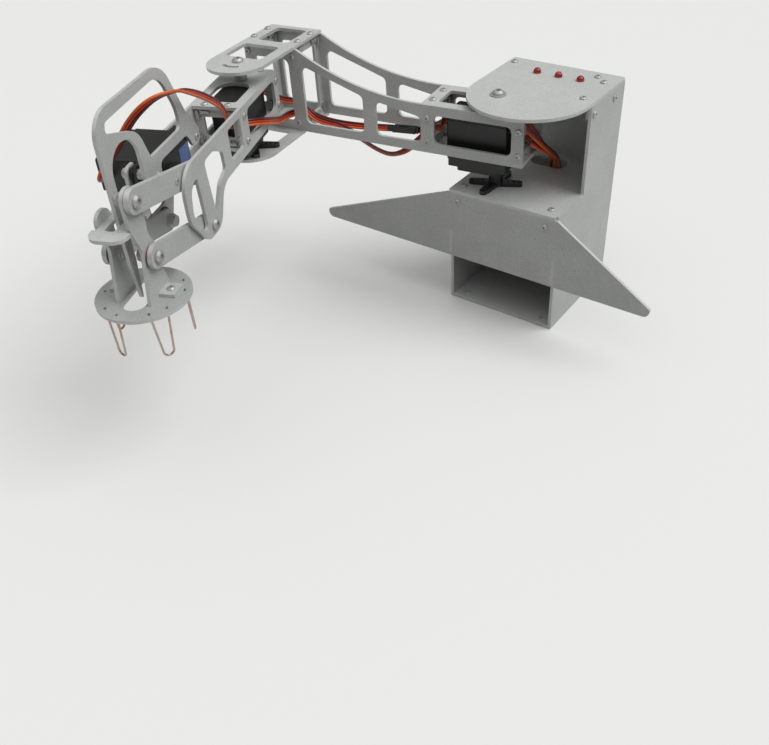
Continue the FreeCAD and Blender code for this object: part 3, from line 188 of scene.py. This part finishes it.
# one finish: a Principled shader, with fixed numbers set on its own sockets
class Finish(Graph):
    def __init__(self, name, fixed):
        self.material = bpy.data.materials.new(name)
        self.material.use_nodes = True
        super().__init__(self.material.node_tree)
        self.tree.nodes.clear()
        self.shader = self.make("ShaderNodeBsdfPrincipled", sockets=fixed)
        surface = Wire(self.tree, self.shader.outputs[0])
        self.make("ShaderNodeOutputMaterial", sockets={"Surface": surface})
        self.place = self.node("ShaderNodeTexCoord", out="Object")

    def noise(self, scale, detail, coarse, stretch=None):
        at = self.place
        if stretch:
            at = self.node("ShaderNodeMapping", sockets={"Vector": at, "Scale": stretch})
        sockets = {"Vector": at, "Scale": scale, "Detail": detail, "Roughness": coarse}
        return self.node("ShaderNodeTexNoise", sockets=sockets)

    def ramp(self, value, low, high):
        settings = {"interpolation_type": "SMOOTHSTEP"}
        return self.node("ShaderNodeMapRange", settings, {"Value": value, "From Min": low, "From Max": high})

    def layer(self, part):  # a noise that shows only above a band of its range
        return self.ramp(self.noise(*part["noise"]), *part["band"])

    def mix(self, factor, first, second):  # 6, 7 and 2 are the Mix node's colour sockets
        return self.node("ShaderNodeMix", {"data_type": "RGBA"}, {0: factor, 6: first, 7: second}, 2)

    def edges(self, radius):
        rounded = self.node("ShaderNodeBevel", {"samples": edgeSet["samples"]}, {"Radius": radius})
        flat = self.node("ShaderNodeNewGeometry", out="True Normal")
        settings = {"operation": "DOT_PRODUCT"}
        close = self.node("ShaderNodeVectorMath", settings, {0: rounded, 1: flat}, "Value")
        return self.ramp(1 - close, *edgeSet["band"])

    def bump(self, height, strength, distance):
        sockets = {"Height": height, "Strength": strength, "Distance": distance}
        self.feed("Normal", self.node("ShaderNodeBump", sockets=sockets))

    def feed(self, socket, value):
        plug(self.tree, self.shader.inputs[socket], value)


def shade(grey, tint=(1, 1, 1)):
    return (grey * tint[0], grey * tint[1], grey * tint[2], 1)


# noise: scale, detail, coarseness and any stretch; band: where it starts to show and where it is full
# tone multiplies the main colour, mix is how much of it shows; rough and relief change roughness and height
# bump: strength and depth

# satin silver-grey sheet: fine speckle, soft blotches, hair scratches, a few dark nicks, and a painted
# highlight that lightens every edge
sheetSet = {
    "grey": 0.60,
    "tint": (0.985, 1.01, 0.99),
    "metal": 0.12,
    "rough": 0.47,
    "wear": 1.0,
    "speckle": {
        "noise": (1500, 1.0, 0.6), "band": (0.25, 0.75), "tones": (0.86, 1.12), "rough": 0.10, "relief": 0.6,
    },
    "blotch": {"noise": (45, 3.0, 0.55), "band": (0.3, 0.7), "tone": 0.80, "mix": 0.35, "rough": 0.14},
    "hair": {"mix": 0.14, "relief": 0.2},
    "hairAlong": {"noise": (160, 4.0, 0.7, (1, 9, 1)), "band": (0.63, 0.70)},
    "hairAcross": {"noise": (140, 4.0, 0.7, (8, 1, 1)), "band": (0.64, 0.71)},
    "scuff": {"noise": (85, 4.0, 0.65), "band": (0.60, 0.74), "tone": 1.3, "mix": 0.12, "rough": 0.10},
    "nick": {"noise": (330, 2.0, 0.5), "band": (0.735, 0.77), "tone": 0.35, "mix": 0.45, "relief": 0.5},
    # edge: a paler band along every edge, a painted highlight; it also lowers the roughness there
    "edge": {"radius": 0.0004, "tone": 1.25, "mix": 0.5, "rough": 0.08},
    "bump": (0.18, 0.00006),
}
discSet = {**sheetSet, "grey": 0.47, "rough": 0.42, "wear": 2.4}


def greySheet(name, s):
    def tone(share):
        return shade(s["grey"] * share, s["tint"])

    f = Finish(name, {"Metallic": s["metal"]})
    speckle = f.noise(*s["speckle"]["noise"])
    blotch = f.noise(*s["blotch"]["noise"])
    hair = f.layer(s["hairAlong"]) + f.layer(s["hairAcross"])
    scuff = f.layer(s["scuff"])
    nick = f.layer(s["nick"])
    edge = f.edges(s["edge"]["radius"])
    dark, light = s["speckle"]["tones"]
    plain = f.mix(f.ramp(speckle, *s["speckle"]["band"]), tone(dark), tone(light))
    cloud = f.ramp(blotch, *s["blotch"]["band"])
    cloudy = f.mix(cloud * s["blotch"]["mix"], plain, tone(s["blotch"]["tone"]))
    rubbed = hair * s["hair"]["mix"] + scuff * (s["scuff"]["mix"] * s["wear"])
    worn = f.mix(rubbed.held(), cloudy, tone(s["scuff"]["tone"]))
    nicked = f.mix(nick * s["nick"]["mix"], worn, tone(s["nick"]["tone"]))
    # the last mix lightens a band along the edges: a painted highlight
    f.feed("Base Color", f.mix(edge * s["edge"]["mix"], nicked, tone(s["edge"]["tone"])))
    dulled = s["rough"] + blotch.swing() * s["blotch"]["rough"] + speckle.swing() * s["speckle"]["rough"]
    polished = scuff * (s["scuff"]["rough"] * s["wear"]) + edge * s["edge"]["rough"]
    f.feed("Roughness", (dulled - polished).held())
    raised = speckle * s["speckle"]["relief"] + hair * s["hair"]["relief"]
    f.bump(raised - nick * s["nick"]["relief"], *s["bump"])
    return f.material


# bare cut edge of the sheet: paler, with the fine grain of the cut
cutSet = {
    "grey": 0.64,
    "tint": (0.99, 1.005, 0.985),
    "metal": 0.25,
    "rough": 0.40,
    "grain": {"noise": (1900, 2.0, 0.6), "tones": (0.84, 1.14), "rough": 0.24},
    "stain": {"noise": (160, 3.0, 0.6), "band": (0.45, 0.75), "tone": 0.72, "mix": 0.4},
    "bump": (0.2, 0.00005),
}


def cutEdge(s):
    f = Finish("cutEdge", {"Metallic": s["metal"]})
    grain = f.noise(*s["grain"]["noise"])
    dark, light = (shade(s["grey"] * share, s["tint"]) for share in s["grain"]["tones"])
    stained = shade(s["grey"] * s["stain"]["tone"], s["tint"])
    f.feed("Base Color", f.mix(f.layer(s["stain"]) * s["stain"]["mix"], f.mix(grain, dark, light), stained))
    f.feed("Roughness", (s["rough"] + grain.swing() * s["grain"]["rough"]).held())
    f.bump(grain, *s["bump"])
    return f.material


# plated screws: fine scratches and a little dulling
screwSet = {
    "grey": 0.52,
    "tint": (1.0, 0.99, 0.96),
    "metal": 0.55,
    "rough": 0.44,
    "grain": {"noise": (2600, 3.0, 0.6), "rough": 0.2},
    "tarnish": {"noise": (420, 3.0, 0.6), "band": (0.35, 0.75), "tone": 0.62, "mix": 0.5, "rough": 0.12},
    "tarnishTint": (1.0, 0.95, 0.86),
    "bump": (0.12, 0.00003),
}


def screwSteel(s):
    f = Finish("screwSteel", {"Metallic": s["metal"]})
    grain = f.noise(*s["grain"]["noise"])
    tarnish = f.layer(s["tarnish"])
    dulled = shade(s["grey"] * s["tarnish"]["tone"], s["tarnishTint"])
    f.feed("Base Color", f.mix(tarnish * s["tarnish"]["mix"], shade(s["grey"], s["tint"]), dulled))
    rough = s["rough"] + grain.swing() * s["grain"]["rough"] + tarnish * s["tarnish"]["rough"]
    f.feed("Roughness", rough.held())
    f.bump(grain, *s["bump"])
    return f.material


# moulded black plastic with a spark-eroded skin, a little dust, and a painted highlight that lightens every
# edge
caseSet = {
    "grey": 0.013,
    "rough": 0.44,
    "fineness": 3200,
    "grain": {"kind": (2.0, 0.6), "band": (0.3, 0.7), "tones": (0.75, 1.3), "rough": 0.16},
    "dust": {"noise": (130, 4.0, 0.65), "band": (0.52, 0.80), "grey": 0.14, "mix": 0.12, "rough": 0.14},
    # edge: a paler band along every edge, a painted highlight
    "edge": {"radius": 0.0003, "mix": 0.10},
    "bump": (0.25, 0.00004),
}
hornSet = {**caseSet, "grey": 0.016, "rough": 0.36, "fineness": 4200}
plugSet = {**caseSet, "grey": 0.014, "rough": 0.40, "fineness": 3600}


def blackMoulded(name, s):
    f = Finish(name, {})
    grain = f.noise(s["fineness"], *s["grain"]["kind"])
    dust = f.layer(s["dust"])
    edge = f.edges(s["edge"]["radius"])
    dark, light = (shade(s["grey"] * share) for share in s["grain"]["tones"])
    base = f.mix(f.ramp(grain, *s["grain"]["band"]), dark, light)
    # pale is real dust plus a painted highlight along the edges
    pale = dust * s["dust"]["mix"] + edge * s["edge"]["mix"]
    f.feed("Base Color", f.mix(pale.held(), base, shade(s["dust"]["grey"])))
    rough = s["rough"] + grain.swing() * s["grain"]["rough"] + dust * s["dust"]["rough"]
    f.feed("Roughness", rough.held())
    f.bump(grain, *s["bump"])
    return f.material


# soft insulation of one strand, with faint smears
strandSet = {
    "colours": {"orange": (0.80, 0.145, 0.018), "red": (0.52, 0.032, 0.014), "brown": (0.110, 0.014, 0.011)},
    "coat": 0.12,
    "coatRough": 0.25,
    "rough": 0.36,
    "smear": {
        "noise": (240, 3.0, 0.6), "band": (0.3, 0.75), "tone": (0.74, 0.70, 0.8), "mix": 0.5, "rough": 0.12,
    },
    "fine": {"noise": (2200, 2.0, 0.6), "rough": 0.08},
    "bump": (0.08, 0.00003),
}


def strandSkin(colour, s):
    f = Finish("strand" + colour.capitalize(), {"Coat Weight": s["coat"], "Coat Roughness": s["coatRough"]})
    clean = s["colours"][colour]
    smeared = [part * share for part, share in zip(clean, s["smear"]["tone"])]
    smear = f.layer(s["smear"])
    fine = f.noise(*s["fine"]["noise"])
    f.feed("Base Color", f.mix(smear * s["smear"]["mix"], (*clean, 1), (*smeared, 1)))
    rough = s["rough"] + smear.swing() * s["smear"]["rough"] + fine.swing() * s["fine"]["rough"]
    f.feed("Roughness", rough.held())
    f.bump(fine, *s["bump"])
    return f.material


# glossy red lamp with a cloudy colour
lampSet = {
    "red": (0.42, 0.014, 0.010),
    "deep": (0.16, 0.005, 0.004),
    "coat": 0.5,
    "coatRough": 0.06,
    "rough": 0.14,
    "cloud": {"noise": (300, 2.0, 0.5), "band": (0.35, 0.7), "rough": 0.1},
}


def redLamp(s):
    f = Finish("redLamp", {"Coat Weight": s["coat"], "Coat Roughness": s["coatRough"]})
    cloud = f.noise(*s["cloud"]["noise"])
    f.feed("Base Color", f.mix(f.ramp(cloud, *s["cloud"]["band"]), (*s["red"], 1), (*s["deep"], 1)))
    f.feed("Roughness", (s["rough"] + cloud.swing() * s["cloud"]["rough"]).held())
    return f.material


# pressed fibre: short matted threads
fibreSet = {
    "red": (0.24, 0.022, 0.018),
    "dark": (0.12, 0.012, 0.012),
    "rough": 0.72,
    "along": (900, 5.0, 0.75, (1, 6, 1)),
    "across": (900, 5.0, 0.75, (6, 1, 1)),
    "threads": {"band": (0.4, 0.6), "rough": 0.3},
    "bump": (0.3, 0.00008),
}


def redFibre(s):
    f = Finish("redFibre", {})
    threads = (f.noise(*s["along"]) + f.noise(*s["across"])) * 0.5  # the mean of both ways
    f.feed("Base Color", f.mix(f.ramp(threads, *s["threads"]["band"]), (*s["dark"], 1), (*s["red"], 1)))
    f.feed("Roughness", (s["rough"] + threads.swing() * s["threads"]["rough"]).held())
    f.bump(threads, *s["bump"])
    return f.material


# black rubber with a grey bloom
rubberSet = {
    "grey": 0.016,
    "rough": 0.68,
    "bloom": {"noise": (380, 4.0, 0.6), "band": (0.4, 0.8), "tone": 2.6, "mix": 0.5, "rough": 0.14},
    "pores": {"noise": (2400, 2.0, 0.6), "rough": 0.1},
    "bump": (0.3, 0.00006),
}


def blackRubber(s):
    f = Finish("blackRubber", {})
    bloom = f.layer(s["bloom"])
    pores = f.noise(*s["pores"]["noise"])
    pale = shade(s["grey"] * s["bloom"]["tone"])
    f.feed("Base Color", f.mix(bloom * s["bloom"]["mix"], shade(s["grey"]), pale))
    rough = s["rough"] + bloom * s["bloom"]["rough"] + pores.swing() * s["pores"]["rough"]
    f.feed("Roughness", rough.held())
    f.bump(pores, *s["bump"])
    return f.material


# drawn wire with a warm coppery cast and lines along the draw
wireSet = {
    "bare": (0.46, 0.40, 0.36),
    "warm": (0.40, 0.245, 0.18),
    "metal": 1.0,
    "rough": 0.30,
    "cast": {"noise": (120, 3.0, 0.6), "band": (0.3, 0.7), "mix": 0.8, "rough": 0.06},
    "lines": {"noise": (1400, 3.0, 0.6, (5, 5, 0.4)), "rough": 0.25},
    "bump": (0.12, 0.00004),
}


def springWire(s):
    f = Finish("springWire", {"Metallic": s["metal"]})
    cast = f.layer(s["cast"])
    lines = f.noise(*s["lines"]["noise"])
    f.feed("Base Color", f.mix(cast * s["cast"]["mix"], (*s["bare"], 1), (*s["warm"], 1)))
    rough = s["rough"] + lines.swing() * s["lines"]["rough"] + cast * s["cast"]["rough"]
    f.feed("Roughness", rough.held())
    f.bump(lines, *s["bump"])
    return f.material


# plain film label: blue with a soft gloss
labelSet = {
    "blue": (0.058, 0.125, 0.34),
    "pale": (0.105, 0.20, 0.44),
    "coat": 0.2,
    "coatRough": 0.2,
    "rough": 0.34,
    "haze": {"noise": (260, 3.0, 0.6), "band": (0.35, 0.75), "mix": 0.6},
    "grain": {"noise": (2800, 2.0, 0.6), "rough": 0.16},
    "bump": (0.1, 0.00003),
}


def blueLabel(s):
    f = Finish("blueLabel", {"Coat Weight": s["coat"], "Coat Roughness": s["coatRough"]})
    grain = f.noise(*s["grain"]["noise"])
    f.feed("Base Color", f.mix(f.layer(s["haze"]) * s["haze"]["mix"], (*s["blue"], 1), (*s["pale"], 1)))
    f.feed("Roughness", (s["rough"] + grain.swing() * s["grain"]["rough"]).held())
    f.bump(grain, *s["bump"])
    return f.material


strands = [strandSkin(colour, strandSet) for colour in strandSet["colours"]]
finishes = {
    "grey_sheet": greySheet("greySheet", sheetSet),
    "screw_steel": screwSteel(screwSet),
    "servo_case": blackMoulded("servoCase", caseSet),
    "horn_plastic": blackMoulded("hornPlastic", hornSet),
    "connector_plastic": blackMoulded("connectorPlastic", plugSet),
    "red_lamp": redLamp(lampSet),
    "red_fibre": redFibre(fibreSet),
    "black_rubber": blackRubber(rubberSet),
    "spring_wire": springWire(wireSet),
    "lead_ribbon": strands[0],
}
labelFilm = blueLabel(labelSet)
cutMetal = cutEdge(cutSet)
scuffedDisc = greySheet("scuffedDisc", discSet)
print("finishes made")


# a flat sheet has one main direction; faces across it are cut edges
dressSet = {"scuffed": "base_disc", "sheetShare": 0.5, "edgeBelow": 0.5}


def axisOf(face):
    return tuple(round(abs(x), 2) for x in face.normal)


def sheetFace(mesh):
    areas = {}
    for face in mesh.polygons:
        areas[axisOf(face)] = areas.get(axisOf(face), 0) + face.area
    widest = max(areas, key=areas.get)
    main = next(face.normal for face in mesh.polygons if axisOf(face) == widest)
    return main.copy(), areas[widest] / sum(areas.values())


def dressNodes(s):
    slots = {part["node"]: part["material_slot"] for part in frame["record"]["subparts"]}
    for name, piece in nodes.items():
        mesh = piece.data
        mesh.materials.clear()
        mesh.materials.append(scuffedDisc if name == s["scuffed"] else finishes[slots[name]])
        if slots[name] != "grey_sheet":
            continue
        mesh.materials.append(cutMetal)
        main, share = sheetFace(mesh)
        if share > s["sheetShare"]:
            for face in mesh.polygons:
                face.material_index = int(abs(face.normal.dot(main)) < s["edgeBelow"])


dressNodes(dressSet)
print("frame dressed")


def newPiece(name, mesh, body=None):
    piece = bpy.data.objects.new(name, mesh)
    bpy.context.scene.collection.objects.link(piece)
    if body:
        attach(piece, body)
    return piece


# leads: three strands side by side along one smooth line
ribbonSet = {"strandR": 0.00080, "pitch": 0.00156, "sides": 10, "smooth": 8}


def smoothLine(name, points):
    curve = bpy.data.curves.new(name, "CURVE")
    curve.dimensions = "3D"
    curve.resolution_u = ribbonSet["smooth"]
    spline = curve.splines.new("NURBS")
    spline.points.add(len(points) - 1)
    for control, point in zip(spline.points, points):
        control.co = (*point, 1)
    spline.order_u = 3
    spline.use_endpoint_u = True
    holder = bpy.data.objects.new(name, curve)
    bpy.context.scene.collection.objects.link(holder)
    bpy.context.view_layer.update()
    mesh = bpy.data.meshes.new_from_object(holder.evaluated_get(bpy.context.evaluated_depsgraph_get()))
    line = [vertex.co.copy() for vertex in mesh.vertices]
    bpy.data.objects.remove(holder)
    bpy.data.curves.remove(curve)
    bpy.data.meshes.remove(mesh)
    return line


# the ribbon's broad side follows the directions given along its length
def broadWay(hints, share):
    for (low, first), (high, second) in zip(hints, hints[1:]):
        if share <= high:
            return first.lerp(second, max(share - low, 0) / (high - low))
    return hints[-1][1].copy()


def ribbonFrames(line, hints):
    frames = []
    for i, point in enumerate(line):
        ahead = (line[min(i + 1, len(line) - 1)] - line[max(i - 1, 0)]).normalized()
        wide = broadWay(hints, i / (len(line) - 1))
        wide = (wide - ahead * wide.dot(ahead)).normalized()
        frames.append((point, wide, ahead.cross(wide)))
    return frames


def addStrand(bm, frames, offset, index):
    sides = ribbonSet["sides"]
    turns = [2 * math.pi * k / sides for k in range(sides)]
    rings = []
    for point, wide, high in frames:
        centre = point + wide * offset
        ring = [centre + (wide * math.cos(t) + high * math.sin(t)) * ribbonSet["strandR"] for t in turns]
        rings.append([bm.verts.new(place) for place in ring])
    for low, top in zip(rings, rings[1:]):
        for k in range(sides):
            after = (k + 1) % sides
            skin = bm.faces.new((low[k], low[after], top[after], top[k]))
            skin.smooth = True
            skin.material_index = index
    for ring in (rings[0][::-1], rings[-1]):
        bm.faces.new(ring).material_index = index


def makeRibbon(name, points, hints):
    line = smoothLine(name, points)
    frames = ribbonFrames(line, hints)
    mesh = bpy.data.meshes.new(name)
    bm = bmesh.new()
    for index, material in enumerate(strands):
        addStrand(bm, frames, (index - (len(strands) - 1) / 2) * ribbonSet["pitch"], index)
        mesh.materials.append(material)
    bm.to_mesh(mesh)
    bm.free()
    return newPiece(name, mesh), line


# ways for a ribbon's broad side, from its first strand to its last
acrossArm = (onArm(0, 1, 0) - onArm(0, 0, 0)).normalized()
acrossFore = (onFore(0, 1, 0) - onFore(0, 0, 0)).normalized()
outward = Vector((0.60, -0.68, 0.42))  # towards the open side of the arm
aside = Vector((0.78, 0.62, 0))
leaning = zUp * 0.8 - outward * 0.5  # on edge, with the lower strand turned out
drooping = zUp * 0.6 + outward * 0.8
backward = Vector((0, 1, 0))

# points in millimetres; wide has shares of the length with the broad way there; bend is where the bodies part
leadRoutes = {
    "lift_lead": {
        "points": route(
            (onFore, [
                (119.2, -32, 144), (126.5, -32, 144), (132, -28.5, 149.6), (128.2, -23.5, 157.6),
                (121.9, -18.4, 165.8), (119.5, -12.7, 174), (119.4, -4.8, 182), (115.2, 2.6, 187.4),
                (106.6, 7.7, 187.6), (94.6, 9.5, 184), (80.2, 10, 176.6), (66.8, 10, 168.4),
                (56, 10.3, 160.2), (49.8, 9.6, 153.2), (46, 7.8, 146.6), (42, 6.2, 141.8),
                (37, 6.4, 139.4), (31.4, 11, 138.4), (24.2, 17.4, 136.9), (11.5, 20.8, 132.2),
                (-11, 18.6, 122.8),
            ]),
            (onArm, [
                (144.6, 20.4, 118.8), (141.4, 10.2, 118.2), (137.2, 4, 116.4), (132.8, 3.3, 113.8),
                (127.4, 2.4, 111.6), (120.8, 1.2, 110.2), (112.2, 0, 109.3), (100.6, -2, 108.8),
                (89.6, -2.9, 109.4), (78.2, -3.2, 110.4),
            ]),
        ),
        "wide": [(0, aside), (0.17, aside), (0.27, -outward), (0.37, leaning), (1, leaning)],
        "bodies": ("forearm", "upper_arm"),
        "bend": (onFore(24, 17, 135), onArm(144.6, 20.4, 118)),
        "ends": "connector",
    },
    "elbow_lead": {
        "points": route(
            (onFore, [(-10.2, 2, 141), (-17, 2, 141)]),
            (onArm, [
                (156.9, 26.6, 137.4), (157.2, 18.2, 130.6), (153.2, 11, 125.2), (146.2, 8, 124),
                (140.6, 6.4, 122.6), (136.6, 6, 117.6), (132, 6, 113.8), (126.4, 5.9, 111.9),
                (120.6, 5.6, 111.1), (114.6, 5.2, 110.5), (104.4, 4.8, 107.8), (94.2, 4.4, 101.4),
                (85, 4.4, 97.2), (74.6, 5.4, 95.4), (64.8, 5, 98.4), (57.2, 4.4, 105),
                (50.6, 3.8, 111.6), (45.6, 3.5, 116), (40.8, 3.5, 118.8), (36, 4.2, 121.6),
                (33.6, 6.2, 127.6), (32.2, 8, 132.6), (29.6, 9.2, 135.4), (24.6, 9.4, 135.1),
                (17, 9.4, 134.9),
            ]),
        ),
        "wide": [
            (0, acrossFore), (0.10, leaning), (0.43, leaning), (0.51, drooping), (0.60, drooping),
            (0.68, leaning), (0.80, zUp), (0.86, acrossArm), (1, acrossArm),
        ],
        "bodies": ("forearm", "upper_arm"),
        "bend": (onFore(-14, 2, 141), onArm(155, 13, 125)),
        "ends": "object",
    },
    "elbow_lead_tail": {
        "points": route(
            (onArm, [
                (17, 9.4, 134.9), (9.4, 9.4, 134.9), (-1, 9.2, 134.9), (-11.6, 7.9, 135.2),
                (-19.6, 5.6, 129.8),
            ]),
            (onTower, [
                (25.2, 3.4, 121.2), (27.9, 10.6, 113.8), (27.6, 19.2, 107), (27.2, 28.2, 100.4),
                (26, 37, 93), (23.8, 43.8, 84.6), (22.6, 46.4, 73),
            ]),
        ),
        "wide": [(0, acrossArm), (0.22, acrossArm), (0.40, leaning), (0.85, leaning), (1, backward)],
        "bodies": ("upper_arm", "base"),
        "bend": (onTower(20, 6, 128), onTower(20, 40, 118)),
        "ends": "object",
    },
    "tower_lead": {
        "points": route(
            (onArm, [
                (56.5, -4, 111.8), (51, -4.4, 112.2), (45.6, -4.4, 115.8), (40.4, -3.9, 118.9),
                (35.8, -2, 123), (33.8, 0.6, 128.8), (32.2, 2.6, 132.8), (29.4, 4, 135.3),
                (24.4, 4.5, 135.1), (15.6, 4.5, 134.9), (6.6, 4.5, 134.9), (-2.8, 4.2, 135.3),
                (-12.6, 2.6, 135.7), (-19.8, -0.4, 130),
            ]),
            (onTower, [
                (22.8, 7.8, 122.2), (23.1, 15.4, 114), (22.4, 23.4, 106.2), (20.8, 32.6, 99.2),
                (18.8, 40, 91.6), (17, 44.2, 83.2), (16.4, 45.8, 72.6),
            ]),
        ),
        "wide": [
            (0, zUp), (0.18, zUp), (0.26, acrossArm), (0.54, acrossArm), (0.66, leaning), (0.88, leaning),
            (1, backward),
        ],
        "bodies": ("upper_arm", "base"),
        "bend": (onTower(20, 6, 128), onTower(20, 40, 118)),
        "ends": "object",
    },
    "shoulder_lead": {
        "points": route(
            (onArm, [(-10.2, 6.4, 126), (-16, 6.4, 126), (-21.6, 5.6, 122.6)]),
            (onTower, [
                (24.8, 4.2, 116), (26.3, 12.2, 110.8), (25.8, 21.2, 105), (25.2, 30, 98.4),
                (23.2, 38.6, 91.2), (20.5, 44.2, 83.2), (19.8, 46, 72),
            ]),
        ),
        "wide": [(0, acrossArm), (0.14, acrossArm), (0.34, leaning), (0.85, leaning), (1, backward)],
        "bodies": ("upper_arm", "base"),
        "bend": (onTower(24, 2, 122), onTower(24, 38, 112)),
        "ends": "object",
    },
}


def pathLength(line):
    return sum((b - a).length for a, b in zip(line, line[1:]))


# housings pushed together, the middle one larger, with a catch on top
connectorSet = {
    "off": -3.2,
    "z": 110.4,
    "tilt": 0.07,
    "parts": {  # start, end, width and height
        "nose": (74.8, 78.6, 3.0, 2.9),
        "middle": (58.6, 74.8, 4.0, 3.5),
        "tail": (56.5, 58.6, 3.2, 3.0),
    },
    "catch": (64.0, 70.0, 1.6, 0.4),  # start, end, width and how far it stands up
    "edgeR": 0.35,
    "edgeSteps": 2,
}


def addBlock(bm, s, low, high, edgeR):
    made = bmesh.ops.create_cube(bm, size=1)["verts"]
    front = s["parts"]["nose"][1]
    for vertex in made:
        share = vertex.co + Vector((0.5, 0.5, 0.5))  # 0 to 1 along each side
        along, off, z = (a + (b - a) * t for a, b, t in zip(low, high, share))
        vertex.co = onArm(along, off, z + (front - along) * s["tilt"])
    edges = list({edge for vertex in made for edge in vertex.link_edges})
    bmesh.ops.bevel(bm, geom=edges, offset=edgeR * mm, segments=s["edgeSteps"], affect="EDGES")


def makeConnector(s):
    mesh = bpy.data.meshes.new("lead_housing")
    bm = bmesh.new()
    for start, end, wide, tall in s["parts"].values():
        low = (start, s["off"] - wide / 2, s["z"] - tall / 2)
        high = (end, s["off"] + wide / 2, s["z"] + tall / 2)
        addBlock(bm, s, low, high, s["edgeR"])
    start, end, wide, tall = s["catch"]
    top = s["z"] + s["parts"]["middle"][3] / 2
    low = (start, s["off"] - wide / 2, top - tall)
    high = (end, s["off"] + wide / 2, top + tall)
    addBlock(bm, s, low, high, s["edgeR"] / 2)
    bmesh.ops.recalc_face_normals(bm, faces=bm.faces)
    bm.to_mesh(mesh)
    bm.free()
    mesh.materials.append(finishes["connector_plastic"])
    housing = newPiece("lead_housing", mesh, "upper_arm")
    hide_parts("lead_connector")
    return housing


def makeLeads():
    housing = makeConnector(connectorSet)
    for name, lead in leadRoutes.items():
        ribbon, line = makeRibbon(name + "_ribbon", lead["points"], lead["wide"])
        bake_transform(ribbon)
        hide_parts(name)
        plugs = [housing] if lead["ends"] == "connector" else []
        round(pathLength(line), 4)
        print("lead", name, round(pathLength(line) / mm, 1), "mm")


makeLeads()


# plain label on the lift servo's output side, towards its rear end
stickerSet = {
    "along": (85.4, 96.8),
    "face": 0.5,
    "z": (139.4, 150.8),
    "thick": 0.12,
    "cornerR": 0.9,
    "cornerSteps": 5,
}


def roundedOutline(low, high, radius, steps):
    corners = ((high[0], high[1], 0), (low[0], high[1], 90), (low[0], low[1], 180), (high[0], low[1], 270))
    outline = []
    for x, y, start in corners:
        cx = x - radius if x == high[0] else x + radius
        cy = y - radius if y == high[1] else y + radius
        for k in range(steps + 1):
            angle = math.radians(start + 90 * k / steps)
            outline.append((cx + radius * math.cos(angle), cy + radius * math.sin(angle)))
    return outline


def makeSticker(s):
    low = (s["along"][0], s["z"][0])
    high = (s["along"][1], s["z"][1])
    outline = roundedOutline(low, high, s["cornerR"], s["cornerSteps"])
    mesh = bpy.data.meshes.new("servo_sticker")
    bm = bmesh.new()
    inner = [bm.verts.new(onFore(a, s["face"], z)) for a, z in outline]
    outer = [bm.verts.new(onFore(a, s["face"] + s["thick"], z)) for a, z in outline]
    bm.faces.new(outer)
    bm.faces.new(inner[::-1])
    for k in range(len(outline)):
        after = (k + 1) % len(outline)
        bm.faces.new((inner[k], inner[after], outer[after], outer[k]))
    bmesh.ops.recalc_face_normals(bm, faces=bm.faces)
    bm.to_mesh(mesh)
    bm.free()
    mesh.materials.append(labelFilm)
    newPiece("servo_sticker", mesh, "forearm")


makeSticker(stickerSet)
print("sticker laid on")


# pale floor that keeps the shadow; to diffuse light it is a duller tabletop
floorSet = {
    "half": 40.0,
    "z": -0.0002,
    "shown": 0.82,
    "tint": (1.0, 1.003, 0.99),
    "bounced": 0.24,
    "rough": 0.85,
    "shine": 0.2,
    "seenBy": ("Is Camera Ray", "Is Glossy Ray", "Is Transmission Ray"),
}


def makeFloor(s):
    mesh = bpy.data.meshes.new("floor")
    bm = bmesh.new()
    corners = ((-1, -1), (1, -1), (1, 1), (-1, 1))
    bm.faces.new([bm.verts.new((x * s["half"], y * s["half"], s["z"])) for x, y in corners])
    bm.to_mesh(mesh)
    bm.free()
    f = Finish("floorPale", {"Roughness": s["rough"], "Specular IOR Level": s["shine"]})
    camera, glossy, clear = (f.node("ShaderNodeLightPath", out=ray) for ray in s["seenBy"])
    seen = (camera + glossy + clear).held()
    f.feed("Base Color", f.mix(seen, shade(s["bounced"]), shade(s["shown"], s["tint"])))
    mesh.materials.append(f.material)
    floor = bpy.data.objects.new("floor", mesh)
    bpy.context.scene.collection.objects.link(floor)


makeFloor(floorSet)


# soft light from a wide source overhead and to the right, in a room that is brighter above than at the sides
lightSet = {
    "tint": (1, 1, 0.99),
    "above": 1.20,
    "level": 0.03,
    "seen": 0.80,  # what shows behind the floor's far edge
    "key": 1.55,
    "keyFrom": (0.70, 0.30, 1.0),
    "softness": 45.0,
}


def makeLight(s):
    world = bpy.data.worlds.new("room")
    world.use_nodes = True
    g = Graph(world.node_tree)
    way = g.node("ShaderNodeTexCoord", out="Generated")
    height = g.node("ShaderNodeSeparateXYZ", sockets={0: way}, out="Z").held()
    camera = g.node("ShaderNodeLightPath", out="Is Camera Ray")
    room = s["level"] + height * height * (s["above"] - s["level"])
    background = g.tree.nodes["Background"]
    background.inputs["Color"].default_value = (*s["tint"], 1)
    plug(g.tree, background.inputs["Strength"], room + camera * (s["seen"] - room))
    bpy.context.scene.world = world
    data = bpy.data.lights.new("key", "SUN")
    data.energy = s["key"]
    data.angle = math.radians(s["softness"])
    key = bpy.data.objects.new("key", data)
    key.rotation_euler = Vector(s["keyFrom"]).to_track_quat("Z", "Y").to_euler()
    bpy.context.scene.collection.objects.link(key)


makeLight(lightSet)
bpy.context.scene.view_settings.view_transform = "Standard"
print("floor and light set")
